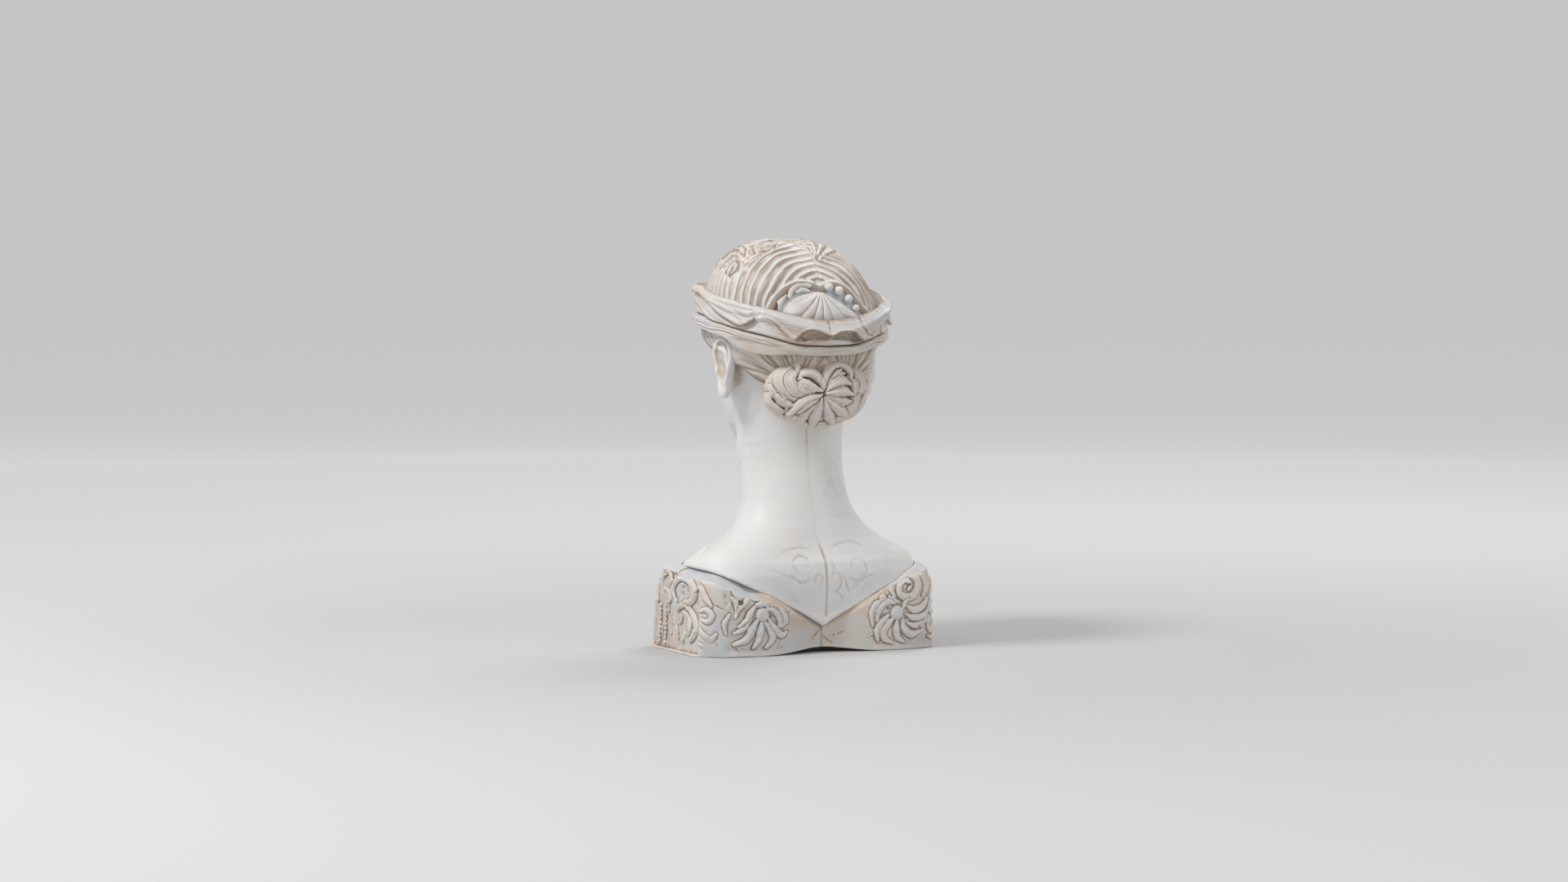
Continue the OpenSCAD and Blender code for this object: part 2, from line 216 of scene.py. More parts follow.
def rounded(body, p):
    """Distance to a rounded body about the middle of the skull, in the frame of the head."""
    half, front, back, up, down, n, lean, tuck = body
    q = p - SKULL_C
    x = q[:, 0] / (1 - tuck * np.clip(-q[:, 2] / 70, 0, 1))
    y = q[:, 1] + lean * np.maximum(q[:, 2], 0)
    a = np.abs(x) / half
    b = np.abs(y) / np.where(y < 0, front, back)
    c = np.abs(q[:, 2]) / np.where(q[:, 2] < 0, down, up)
    g = np.maximum((a**n + b**n + c**n) ** (1 / n), 1e-3)
    ga, gb = (a / g) ** (n - 1) / half, (b / g) ** (n - 1) / np.where(y < 0, front, back)
    gc = (c / g) ** (n - 1) / np.where(q[:, 2] < 0, down, up)
    return (g - 1) / np.sqrt(ga**2 + gb**2 + gc**2 + 1e-9)


def over(body, az, el, out=0.0):
    """Point over a rounded body at degrees from the nape and above the middle, out from it."""
    half, front, back, up, down, n, lean, tuck = body
    az, el = np.radians(np.broadcast_arrays(np.asarray(az, float), np.asarray(el, float)))
    d = np.stack([np.cos(el) * np.sin(az), np.cos(el) * np.cos(az), np.sin(el)], -1)
    reach = ((np.abs(d[..., 0]) / half) ** n
             + (np.abs(d[..., 1]) / np.where(d[..., 1] < 0, front, back)) ** n
             + (np.abs(d[..., 2]) / np.where(d[..., 2] < 0, down, up)) ** n) ** (-1 / n)
    q = d * (reach + out)[..., None]
    x = q[..., 0] * (1 - tuck * np.clip(-q[..., 2] / 70, 0, 1))
    return SKULL_C + np.stack([x, q[..., 1] - lean * np.maximum(q[..., 2], 0), q[..., 2]], -1)


def el_at(az, z, out=0.0, body=HAIR):
    """Elevation at which the surface out from a rounded body stands at height z."""
    el = np.zeros(np.broadcast(az, z).shape)
    for _ in range(12):
        p = over(body, az, el, out) - SKULL_C
        reach = np.hypot(np.hypot(p[..., 0], p[..., 1]), p[..., 2])
        el = np.degrees(np.arcsin(np.clip((z - SKULL_C[2]) / reach, -0.98, 0.98)))
    return el


def on_hair(places, out=0.0):
    """Points over the hair at (degrees from the nape, height)."""
    az, z = np.array(places, float).T
    return over(HAIR, az, el_at(az, z, out), out)


# ---------------------------------------------------------------- strokes of the chisel
def egg(centre, radii, axes=None):
    centre, radii = np.array(centre, float), np.array(radii, float)
    axes = np.eye(3) if axes is None else np.array(axes, float)
    axes = axes / np.linalg.norm(axes, axis=1, keepdims=True)

    def distance(p):
        q = (p - centre) @ axes.T
        k0 = np.linalg.norm(q / radii, axis=1)
        k1 = np.linalg.norm(q / radii**2, axis=1)
        return k0 * (k0 - 1) / np.maximum(k1, 1e-6)

    return centre - radii.max(), centre + radii.max(), distance


def rod(path, radii, per=5, flutes=0, depth=0.0, up=(0, 1, 0), twist=0.0):
    """Round lock along a smooth line, its radius changing from end to end, fluted on request."""
    line = spline(path, per)
    radii = np.interp(np.linspace(0, 1, len(line)), np.linspace(0, 1, len(np.atleast_1d(radii))),
                      np.atleast_1d(radii))
    up = np.array(up, float)

    def distance(p):
        best = np.full(len(p), 1e9)
        angle = np.zeros(len(p))
        for i, (a, b, ra, rb) in enumerate(zip(line[:-1], line[1:], radii[:-1], radii[1:])):
            ab = b - a
            t = np.clip((p - a) @ ab / (ab @ ab + 1e-9), 0, 1)
            q = p - a - t[:, None] * ab
            d = np.sqrt((q**2).sum(1)) - (ra + (rb - ra) * t)
            closer = d < best
            best = np.where(closer, d, best)
            if flutes:
                side = np.cross(ab, up)
                side /= np.linalg.norm(side) + 1e-9
                top = np.cross(side, ab)
                top /= np.linalg.norm(top) + 1e-9
                turn = np.arctan2(q @ side, q @ top) + twist * (i + t) / len(line)
                angle = np.where(closer, turn, angle)
        if flutes:
            best = best + depth * (0.5 - np.abs(np.cos(angle * flutes / 2)))
        return best

    big = radii.max() + depth
    return line.min(0) - big, line.max(0) + big, distance


class Clay:
    """A block and the strokes that add to it or cut from it, as one signed distance."""

    def __init__(self, block):
        self.block = block
        self.strokes = []

    def add(self, shape, k=3.0):
        self.strokes.append((shape, k, True))

    def cut(self, shape, k=1.5):
        self.strokes.append((shape, k, False))

    def __call__(self, p):
        f = self.block(p)
        for (low, high, distance), k, adds in self.strokes:
            near = ((p > low - k - 3) & (p < high + k + 3)).all(1)
            if near.any():
                d = distance(p[near])
                f[near] = join(f[near], d, k) if adds else cut(f[near], d, k)
        return f


# ---------------------------------------------------------------- meshes
def graded(low, high, pitch, fine=()):
    """Rising places from low to high, closer together in the spans (from, to, pitch) of fine."""
    places = [low]
    while places[-1] < high:
        here = pitch
        for start, end, close in fine:
            if start - 3 < places[-1] < end:
                here = min(here, close)
        places.append(places[-1] + here * COARSE)
    while len(places) % 4 != 1:
        places.append(places[-1] + pitch * COARSE)
    return np.array(places)


def net(solid, low, high, pitch, fine=((), (), ())):
    """Quads over the zero surface of a signed distance, one corner per crossed cell."""
    axes = [graded(low[k], high[k], pitch, fine[k]) for k in range(3)]
    count = np.array([len(a) for a in axes])
    block = 4
    widest = max(np.diff(a).max() for a in axes)
    rough = np.stack(np.meshgrid(*[a[::block] for a in axes], indexing="ij"), -1)
    f_rough = solid(rough.reshape(-1, 3)).reshape(rough.shape[:3])
    near = np.abs(f_rough)
    for axis in range(3):
        near = np.minimum(np.take(near, range(near.shape[axis] - 1), axis),
                          np.take(near, range(1, near.shape[axis]), axis))
    live = near < widest * block * 1.2
    field = np.where(f_rough[:-1, :-1, :-1] < 0, -99.0, 99.0).astype(np.float32)
    for axis in range(3):
        field = field.repeat(block, axis)
        live = live.repeat(block, axis)
    pad = [(0, 1)] * 3
    field, live = np.pad(field, pad, mode="edge"), np.pad(live, pad, mode="edge")
    for axis in range(3):
        live = live | np.roll(live, 1, axis)
    where = np.argwhere(live)
    for start in range(0, len(where), 400000):
        i = where[start:start + 400000]
        p = np.stack([axes[k][i[:, k]] for k in range(3)], 1)
        field[i[:, 0], i[:, 1], i[:, 2]] = solid(p)
    inside = field < 0
    mixed = np.zeros([c - 1 for c in count], int)
    for dx in (0, 1):
        for dy in (0, 1):
            for dz in (0, 1):
                mixed += inside[dx:dx + count[0] - 1, dy:dy + count[1] - 1, dz:dz + count[2] - 1]
    cells = np.argwhere((mixed > 0) & (mixed < 8))
    number = np.full(mixed.shape, -1)
    number[tuple(cells.T)] = np.arange(len(cells))
    total, hits = np.zeros((len(cells), 3)), np.zeros(len(cells))
    corners = [np.array([c & 1, c >> 1 & 1, c >> 2]) for c in range(8)]
    for a in range(8):
        for b in range(a + 1, 8):
            if np.abs(corners[a] - corners[b]).sum() != 1:
                continue
            fa, fb = field[tuple((cells + corners[a]).T)], field[tuple((cells + corners[b]).T)]
            crossed = (fa < 0) != (fb < 0)
            t = np.where(crossed, fa / np.where(crossed, fa - fb, 1), 0)
            total += (corners[a] + t[:, None] * (corners[b] - corners[a])) * crossed[:, None]
            hits += crossed
    spot = cells + total / hits[:, None]
    verts = np.stack([np.interp(spot[:, k], np.arange(count[k]), axes[k]) for k in range(3)], 1)
    faces = []
    for axis in range(3):
        u, v = (axis + 1) % 3, (axis + 2) % 3
        ahead = np.take(inside, range(1, count[axis]), axis)
        here = np.take(inside, range(count[axis] - 1), axis)
        for flip in (False, True):
            edge = np.argwhere((here & ~ahead) if flip else (~here & ahead))
            edge = edge[(edge[:, u] > 0) & (edge[:, v] > 0)
                        & (edge[:, u] < count[u] - 1) & (edge[:, v] < count[v] - 1)]
            du, dv = np.eye(3, dtype=int)[u], np.eye(3, dtype=int)[v]
            quad = np.stack([number[tuple(r.T)] for r in (edge - du - dv, edge - dv, edge, edge - du)], 1)
            faces.append(quad if flip else quad[:, ::-1])
    return settle(solid, verts, pitch * COARSE, 3), np.vstack(faces)


def slope(solid, p, h=0.15):
    g = np.empty_like(p)
    for k in range(3):
        o = np.zeros(3)
        o[k] = h
        g[:, k] = (solid(p + o) - solid(p - o)) / (2 * h)
    return g


def settle(solid, verts, pitch, times):
    """Moves points onto the zero surface."""
    for _ in range(times):
        f, g = solid(verts), slope(solid, verts)
        move = f[:, None] * g / np.maximum((g**2).sum(1), 0.2)[:, None]
        size = np.linalg.norm(move, axis=1, keepdims=True)
        verts = verts - move * np.minimum(1, 0.5 * pitch / np.maximum(size, 1e-9))
    return verts


def face_normals(verts, faces):
    a, b, c, d = (verts[faces[:, k]] for k in range(4))
    n = np.cross(c - a, d - b)
    total = np.zeros_like(verts)
    for k in range(4):
        for axis in range(3):
            total[:, axis] += np.bincount(faces[:, k], n[:, axis], len(verts))
    return total / np.maximum(np.linalg.norm(total, axis=1, keepdims=True), 1e-9)


def hollows(verts, faces, normals, rounds=(2, 6, 20, 50), gains=(4.2, 1.7, 0.75, 0.32)):
    """How deep each point lies in a groove, 0 to 1, and how exposed it is, 0 to 1."""
    ends = np.vstack([faces[:, [0, 1]], faces[:, [1, 2]], faces[:, [2, 3]], faces[:, [3, 0]]])
    ends = np.vstack([ends, ends[:, ::-1]])
    weight = np.bincount(ends[:, 0], minlength=len(verts)).astype(float)
    smooth = verts.copy()
    deep, proud = np.zeros(len(verts)), np.zeros(len(verts))
    done = 0
    for times, gain in zip(rounds, gains):
        while done < times:
            mean = np.stack([np.bincount(ends[:, 0], smooth[ends[:, 1], k], len(verts))
                             for k in range(3)], 1) / np.maximum(weight, 1)[:, None]
            smooth = 0.35 * smooth + 0.65 * mean
            done += 1
        sunk = ((smooth - verts) * normals).sum(1) * gain
        deep = np.maximum(deep, np.clip(sunk, 0, 1))
        proud = np.maximum(proud, np.clip(-sunk, 0, 1))
    for _ in range(1):
        deep, proud = (0.4 * v + 0.6 * np.bincount(ends[:, 0], v[ends[:, 1]], len(verts)) / np.maximum(weight, 1)
                       for v in (deep, proud))
    return deep, proud


def piece(name, verts, faces, nodes, slot, material, tints=None):
    """Makes a stone piece of quads given in millimetres, in the row frame."""
    used = np.unique(faces)
    remap = np.full(len(verts), -1)
    remap[used] = np.arange(len(used))
    verts, faces = verts[used], remap[faces]
    normals = face_normals(verts, faces)
    deep, proud = hollows(verts, faces, normals)
    mesh = bpy.data.meshes.new(name)
    mesh.vertices.add(len(verts))
    mesh.vertices.foreach_set("co", (verts * MM).ravel())
    mesh.loops.add(faces.size)
    mesh.loops.foreach_set("vertex_index", faces.ravel())
    mesh.polygons.add(len(faces))
    mesh.polygons.foreach_set("loop_start", np.arange(0, faces.size, 4))
    mesh.update(calc_edges=True)
    mesh.validate()
    mesh.polygons.foreach_set("use_smooth", np.ones(len(mesh.polygons), bool))
    layers = {"hollow": deep, "proud": proud, **(tints(verts) if tints else {})}
    layers["hollow"] = layers["hollow"] * (1 - layers.pop("plain", 0))
    for label, values in layers.items():
        layer = mesh.attributes.new(label, "FLOAT", "POINT")
        layer.data.foreach_set("value", values.astype(np.float32))
    obj = bpy.data.objects.new(name, mesh)
    bpy.context.scene.collection.objects.link(obj)
    mesh.materials.append(material)
    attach(obj, "root")
    if nodes:
        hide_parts(*nodes)
    return obj


def sheet(grid, wrap_rows=False, wrap_cols=True, start=0):
    """Quads of a grid of points, rows by columns, numbered from start."""
    rows, cols = grid
    number = start + np.arange(rows * cols).reshape(rows, cols)
    if wrap_cols:
        number = np.hstack([number, number[:, :1]])
    if wrap_rows:
        number = np.vstack([number, number[:1]])
    return np.stack([number[:-1, :-1], number[:-1, 1:], number[1:, 1:], number[1:, :-1]],
                    -1).reshape(-1, 4)


# ---------------------------------------------------------------- stone and metal
def marble(name, light, warm, cool, stain_and_crease_shade, vein_strength, patina,
           tint_tan=(0.60, 0.45, 0.33), tint_blue=(0.55, 0.60, 0.66)):
    """Veined white marble, bluish in cloudy patches; the grooves are warm and dark with patina and painted shade, and
    the ridges are paler with wear and a painted highlight.
    """
    mat = bpy.data.materials.new(name)
    mat.use_nodes = True
    nodes, links = mat.node_tree.nodes, mat.node_tree.links
    shader = nodes["Principled BSDF"]
    place = nodes.new("ShaderNodeTexCoord")

    def noise(scale, detail, distortion=0.0, rough=0.55):
        n = nodes.new("ShaderNodeTexNoise")
        n.inputs["Scale"].default_value = scale
        n.inputs["Detail"].default_value = detail
        n.inputs["Distortion"].default_value = distortion
        n.inputs["Roughness"].default_value = rough
        links.new(place.outputs["Object"], n.inputs["Vector"])
        return n.outputs["Fac"]

    def ramp(value, low, high, a=0.0, b=1.0):
        n = nodes.new("ShaderNodeMapRange")
        n.interpolation_type = "SMOOTHSTEP"
        for label, number in (("From Min", low), ("From Max", high), ("To Min", a), ("To Max", b)):
            n.inputs[label].default_value = number
        links.new(value, n.inputs["Value"])
        return n.outputs["Result"]

    def math_node(kind, a, b):
        n = nodes.new("ShaderNodeMath")
        n.operation = kind
        for socket, v in zip(n.inputs, (a, b)):
            if isinstance(v, (int, float)):
                socket.default_value = v
            else:
                links.new(v, socket)
        return n.outputs[0]

    def mix(fac, a, b, kind="MIX"):
        n = nodes.new("ShaderNodeMix")
        n.data_type = "RGBA"
        n.blend_type = kind
        for index, v in ((0, fac), (6, a), (7, b)):
            if isinstance(v, (tuple, float)):
                n.inputs[index].default_value = v if isinstance(v, float) else (*v, 1)
            else:
                links.new(v, n.inputs[index])
        return n.outputs[2]

    def attribute(label):
        n = nodes.new("ShaderNodeAttribute")
        n.attribute_name = label
        return n.outputs["Fac"]

    hollow, proud = attribute("hollow"), attribute("proud")
    tan, blue, dark = attribute("tan"), attribute("blue"), attribute("dark")
    clouds = noise(9, 5, 0.4)
    colour = mix(ramp(clouds, 0.42, 0.66), light, cool)
    colour = mix(ramp(noise(14, 6, 0.8), 0.50, 0.72, 0, patina), colour, warm)
    vein = noise(7, 8, 1.6, 0.6)
    line = ramp(math_node("ABSOLUTE", math_node("SUBTRACT", vein, 0.5), 0), 0.0, 0.022, 1, 0)
    line = math_node("MULTIPLY", line, ramp(noise(5, 2), 0.48, 0.62, 0, vein_strength))
    colour = mix(line, colour, (0.36, 0.35, 0.35))
    broken = ramp(noise(30, 6, 0.5), 0.2, 0.6, 0.6, 1)
    # tan is the stone's own stain on most pieces, and painted shade under the jaw, at the nape and in the band's pits
    colour = mix(math_node("MULTIPLY", tan, broken), colour, tint_tan)
    colour = mix(math_node("MULTIPLY", blue, broken), colour, tint_blue)
    speck = ramp(noise(160, 3), 0.62, 0.76, 0, 0.16 * patina + 0.05)
    colour = mix(speck, colour, stain_and_crease_shade)
    # grooves turn warm, then dark: brown patina together with painted shade in the crevices
    patina_and_crease_shade = math_node("MULTIPLY", ramp(hollow, 0.02, 0.62, 0, 1), ramp(noise(22, 4), 0.25, 0.7, 0.6, 1))
    colour = mix(ramp(patina_and_crease_shade, 0.0, 0.5, 0, 0.8), colour, warm)
    colour = mix(ramp(patina_and_crease_shade, 0.3, 0.95, 0, 0.9), colour, stain_and_crease_shade)
    # ridges and edges turned paler: wear together with a painted highlight
    colour = mix(ramp(proud, 0.05, 0.6, 0, 0.35), colour, (0.86, 0.855, 0.84))
    # painted shade: near-black brown along grooves and the seam valley in shade
    colour = mix(dark, colour, (0.20, 0.17, 0.15))
    links.new(colour, shader.inputs["Base Color"])
    links.new(ramp(noise(60, 4), 0.3, 0.7, 0.42, 0.56), shader.inputs["Roughness"])
    shader.inputs["Subsurface Weight"].default_value = 0.12
    shader.inputs["Subsurface Radius"].default_value = (0.006, 0.005, 0.004)
    shader.inputs["Subsurface Scale"].default_value = 0.6
    shader.inputs["Specular IOR Level"].default_value = 0.42
    bump = nodes.new("ShaderNodeBump")
    bump.inputs["Strength"].default_value = 0.22
    bump.inputs["Distance"].default_value = 0.0006
    links.new(math_node("ADD", noise(240, 4), math_node("MULTIPLY", line, -0.6)), bump.inputs["Height"])
    links.new(bump.outputs["Normal"], shader.inputs["Normal"])
    return mat


def metal(name, colour, worn, roughness, scale):
    mat = bpy.data.materials.new(name)
    mat.use_nodes = True
    nodes, links = mat.node_tree.nodes, mat.node_tree.links
    shader = nodes["Principled BSDF"]
    place = nodes.new("ShaderNodeTexCoord")
    n = nodes.new("ShaderNodeTexNoise")
    n.inputs["Scale"].default_value = scale
    n.inputs["Detail"].default_value = 6
    links.new(place.outputs["Object"], n.inputs["Vector"])
    blend = nodes.new("ShaderNodeMix")
    blend.data_type = "RGBA"
    blend.inputs[6].default_value = (*colour, 1)
    blend.inputs[7].default_value = (*worn, 1)
    links.new(n.outputs["Fac"], blend.inputs[0])
    links.new(blend.outputs[2], shader.inputs["Base Color"])
    shader.inputs["Metallic"].default_value = 1.0
    shader.inputs["Roughness"].default_value = roughness
    bump = nodes.new("ShaderNodeBump")
    bump.inputs["Strength"].default_value = 0.3
    bump.inputs["Distance"].default_value = 0.0004
    links.new(n.outputs["Fac"], bump.inputs["Height"])
    links.new(bump.outputs["Normal"], shader.inputs["Normal"])
    return mat


SKIN = marble("Skin marble", (0.775, 0.76, 0.74), (0.66, 0.56, 0.46), (0.74, 0.745, 0.755),
              (0.56, 0.50, 0.44), 0.35, 0.25)
HAIR_STONE = marble("Hair marble", (0.655, 0.63, 0.60), (0.52, 0.42, 0.335), (0.64, 0.64, 0.65),
                    (0.27, 0.21, 0.16), 0.25, 0.55)
BODICE_STONE = marble("Bodice marble", (0.68, 0.64, 0.595), (0.60, 0.445, 0.33), (0.58, 0.605, 0.635),
                      (0.33, 0.24, 0.17), 0.45, 0.60)
BRONZE = metal("Bronze", (0.42, 0.27, 0.12), (0.20, 0.16, 0.09), 0.42, 300)
IRON = metal("Wrought iron", (0.11, 0.10, 0.095), (0.19, 0.12, 0.08), 0.62, 400)


# ---------------------------------------------------------------- hair over the skull
def along(table, v):
    t = np.array(sorted(table), float)
    return np.interp(v, t[:, 0], t[:, 1])


def wrap_az(az):
    return (np.asarray(az) + 180) % 360 - 180


def ridges(s, pitch, power=2.2):
    """Rounded rolls side by side with narrow grooves between them, from -1 in a groove to 0."""
    t = np.abs(2 * (s / pitch - np.floor(s / pitch)) - 1)
    return -(t**power)


def line_distance(p, line, radii=None):
    """Distance to a smooth line and how far along it, 0 to 1."""
    best, where = np.full(len(p), 1e9), np.zeros(len(p))
    for i, (a, b) in enumerate(zip(line[:-1], line[1:])):
        ab = b - a
        t = np.clip((p - a) @ ab / (ab @ ab + 1e-9), 0, 1)
        q = p - a - t[:, None] * ab
        d = np.sqrt((q**2).sum(1))
        closer = d < best
        best, where = np.where(closer, d, best), np.where(closer, (i + t) / (len(line) - 1), where)
    return best, where


HAIRLINE = [(-140, 331), (-95, 329), (-70, 321), (-42, 311), (-18, 301), (40, 284), (66, 262), (90, 240), (140, 225)]
SHELL_C = over(HAIR, 0.0, el_at(0.0, 348.0), 0.0)
SHELL_DIR = (SHELL_C - SKULL_C) / np.linalg.norm(SHELL_C - SKULL_C)
LOWER_MID = [(0, 305.5), (13, 306), (20, 308), (34, 314.5), (50, 320), (63, 324.5), (90, 332), (130, 337.5), (150, 339.5), (180, 340)]
LOWER_HALF = [(0, 4.8), (20, 5), (34, 6), (50, 6.6), (90, 7), (180, 7)]
LIP_TOP = [(-180, 379), (-140, 377), (-114, 374), (-95, 370), (-73, 361), (-58, 355), (-45, 350.5), (-28, 343), (-16, 338),
           (-1, 336), (11, 338), (24, 344), (38, 349), (53, 355), (73, 361), (95, 371), (114, 374), (140, 377), (180, 379)]
LIP_LOW = [(-180, 375), (-95, 367), (-60, 352), (-42, 344.5), (-24, 332.5), (-14, 327.5), (-5, 327), (0, 322),
           (5, 327), (13, 331), (24, 337), (30, 341), (38, 345.5), (53, 352.5), (73, 359), (95, 368.5), (180, 375)]


NICHE = [(29, 338), (27.5, 348), (23.5, 357.5), (18, 365), (11, 369.0), (4, 367.0), (0.5, 363.5), (-3.5, 364.5),
         (-8, 367.5), (-12.5, 368.0), (-17.5, 363.5), (-21.5, 354.5), (-26.5, 344), (-28, 337)]


def inside_distance(x, y, poly):
    """Signed distance to a closed outline in the plane, below zero inside."""
    poly = spline(poly + [poly[0]], 5)
    a, b = poly[:-1], poly[1:]
    best = np.full(len(x), 1e9)
    odd = np.zeros(len(x), bool)
    for (ax, ay), (bx, by) in zip(a, b):
        ex, ey = bx - ax, by - ay
        t = np.clip(((x - ax) * ex + (y - ay) * ey) / (ex * ex + ey * ey + 1e-9), 0, 1)
        best = np.minimum(best, np.hypot(x - ax - t * ex, y - ay - t * ey))
        cross = ((ay > y) != (by > y)) & (x < ax + (y - ay) * ex / (ey if abs(ey) > 1e-9 else 1e-9))
        odd ^= cross
    return np.where(odd, -best, best)


def hair_relief(p, az, z):
    """Height of the carved strands above the plain hair."""
    d = p - SKULL_C
    r = np.linalg.norm(d, axis=1)
    psi = np.degrees(np.arccos(np.clip(d @ SHELL_DIR / r, -1, 1)))
    side = np.abs(p[:, 0])
    part_x = np.interp(p[:, 2], [360, 374, 388, 404, 415], [0, -1.5, -4.5, -5.0, -3.0]) * step(-30, 40, p[:, 1])
    dx = p[:, 0] - part_x
    s = psi * 1.62 + 4.2 * grain(p, 38.0) + 1.3 * grain(p + 50, 14.0)
    # where the two sides meet the strands bend towards the shell
    s = s - 6.5 * np.exp(-np.abs(dx) / 10.0) + 0.010 * side**1.5
    fade = 0.35 + 0.65 * step(-0.45, 0.35, grain(p + 33, 17.0))
    fade2 = step(-0.35, 0.5, grain(p + 71, 11.0))
    locks = ridges(s, 10.4, 3.2)
    split = ridges(s + 1.1 * grain(p + 90, 9.0) + 2.0, 5.2, 1.8)
    swell = ridges(s, 10.4, 1.8)
    back = step(-75, 5, p[:, 1])
    top = 2.9 * locks * fade + 1.2 * swell + 0.9 * split * fade2
    # waves of the front hair, worn to rolls that run from the parting to the temples
    wave = s + 3.4 * np.sin(side / 8.0 + 0.5 * grain(p, 20)) * step(8, 25, side)
    front = (1.4 * ridges(wave, 10.4, 1.9) + 1.3 * ridges(wave, 10.4, 5.0)
             + 0.6 * ridges(wave + 0.8 * grain(p, 10) + 1.2, 4.0, 2.2) * (0.4 + 0.6 * fade2))
    up = top * back + front * (1 - back)
    up = up - 1.6 * np.exp(-((dx / 3.4) ** 2)) + 0.9 * np.exp(-((dx / 1.3) ** 2))
    # worn and tangled curls above the sitter's left temple
    tangle = step(42, 58, az) * step(146, 118, az) * step(383, 396, z)
    drift = np.stack([grain(p, 9), grain(p + 30, 9), grain(p + 60, 9)], 1)
    snarl = np.abs(grain(p + 5.0 * drift, 8.5))
    up = up * (1 - 0.75 * tangle) + tangle * (1.2 - 7.5 * np.clip(0.36 - snarl, 0, 1) + 1.2 * grain(p, 16))
    # below the bands the strands gather to the knot
    u = (np.abs(az) - 20) * 1.45
    v = z - 264
    theta = np.degrees(np.arctan2(v, u + 1e-6)) + 0.30 * np.hypot(u, v)
    gather = theta + 4.0 * grain(p, 22)
    low = (2.8 * ridges(gather, 19.0, 4.0) * (0.5 + 0.5 * fade) + 1.4 * ridges(gather, 19.0, 1.8)
           + 1.4 * ridges(gather + 1.2 * grain(p, 9) + 3, 7.0, 2.2) * (0.4 + 0.6 * fade2))
    comb = np.abs(az) * 1.6 + 0.25 * (z - 300) + 1.6 * grain(p, 16)
    brow = 1.3 * ridges(comb, 8.2, 2.0) + 0.5 * ridges(comb + 1.5, 4.1, 1.8)
    brow = brow + (front - brow) * step(-62, -36, p[:, 1])
    low = low * step(-4, 14, p[:, 1]) + brow * step(14, -4, p[:, 1])
    band = along(LOWER_MID, np.abs(az))
    under = step(6, -6, z - band)
    out = up * (1 - under) + low * under
    # niche about the shell, with a smooth roll of hair arched over it
    rim = np.full(len(az), 99.0)
    close = (np.abs(az) < 50) & (z > 326)
    rim[close] = inside_distance(az[close] * 1.62, z[close], [(q * 1.62, h) for q, h in NICHE])
    roll = step(9.4, 8.2, rim)
    swell = 2.4 * np.sqrt(np.clip(1 - ((rim - 4.3) / 4.7) ** 2, 0, 1)) - 0.9
    out = out * (1 - roll) + roll * swell
    out = out - 1.2 * np.exp(-(((rim - 9.0) / 1.0) ** 2)) - 3.6 * step(1.4, -2.0, rim)
    # the strands lie closer to the head about the ears
    out = out - 4.0 * np.exp(-(((np.abs(az) - 79) / 15) ** 2)) * step(326, 314, z)
    for line, radii, lift in LOCKS:
        near = ((p > line.min(0) - 12) & (p < line.max(0) + 12)).all(1)
        if near.any():
            dist, t = line_distance(p[near], line)
            w = np.interp(t, np.linspace(0, 1, len(radii)), radii)
            q = np.clip(1 - (dist / w) ** 2, 0, 1)
            raised = lift * np.sqrt(q) + 0.25 * ridges(dist, w * 0.55, 2) * (q > 0)
            edge = -1.0 * np.exp(-(((dist - w) / 0.9) ** 2)) * step(0, 0.05, t) * step(1, 0.95, t)
            out[near] = np.where(q > 0, np.maximum(out[near] * 0.3, -0.8) + raised, out[near]) + edge
    return out


LOCKS = [(spline(on_hair(path), 5), np.array(radii, float), lift) for path, radii, lift in [
    ([(50, 400), (57, 406), (57, 412), (42, 415), (32, 408), (36, 401), (46, 402)], (2, 3.6, 3.6, 3.4, 3.0, 1.8), 1.7),
    ([(76, 384), (73, 393), (63, 392), (61, 384), (68, 380), (68, 387)], (2, 3.2, 3.2, 3.0, 1.8), 1.6),
    ([(92, 390), (85, 399), (74, 400), (72, 394)], (2, 3.4, 3, 1.6), 1.5),
    ([(110, 402), (98, 409), (84, 408), (80, 401), (89, 399)], (2, 3.4, 3.4, 2.6, 1.6), 1.7),
    ([(126, 411), (105, 415), (88, 413)], (2, 3.6, 2), 1.5),
    ([(64, 400), (70, 407), (84, 411)], (1.6, 3, 2), 1.3),
    ([(-7, 391), (-8, 398), (-7, 407), (-3, 415)], (1.2, 2.6, 3.2, 1.6), 1.5),
    ([(-8, 392), (-12, 401), (-17, 409), (-28, 416)], (1.2, 2.8, 3.4, 1.6), 1.9),
    ([(-9, 393), (-17, 402), (-30, 409), (-50, 415)], (1.2, 2.8, 3.4, 1.6), 1.9),
    ([(-10, 393), (-22, 401), (-40, 407), (-64, 411)], (1.2, 2.8, 3.2, 1.6), 1.6),
    ([(-11, 391), (-24, 397), (-44, 402), (-62, 405)], (1.2, 2.6, 2.8, 1.4), 1.2)]]


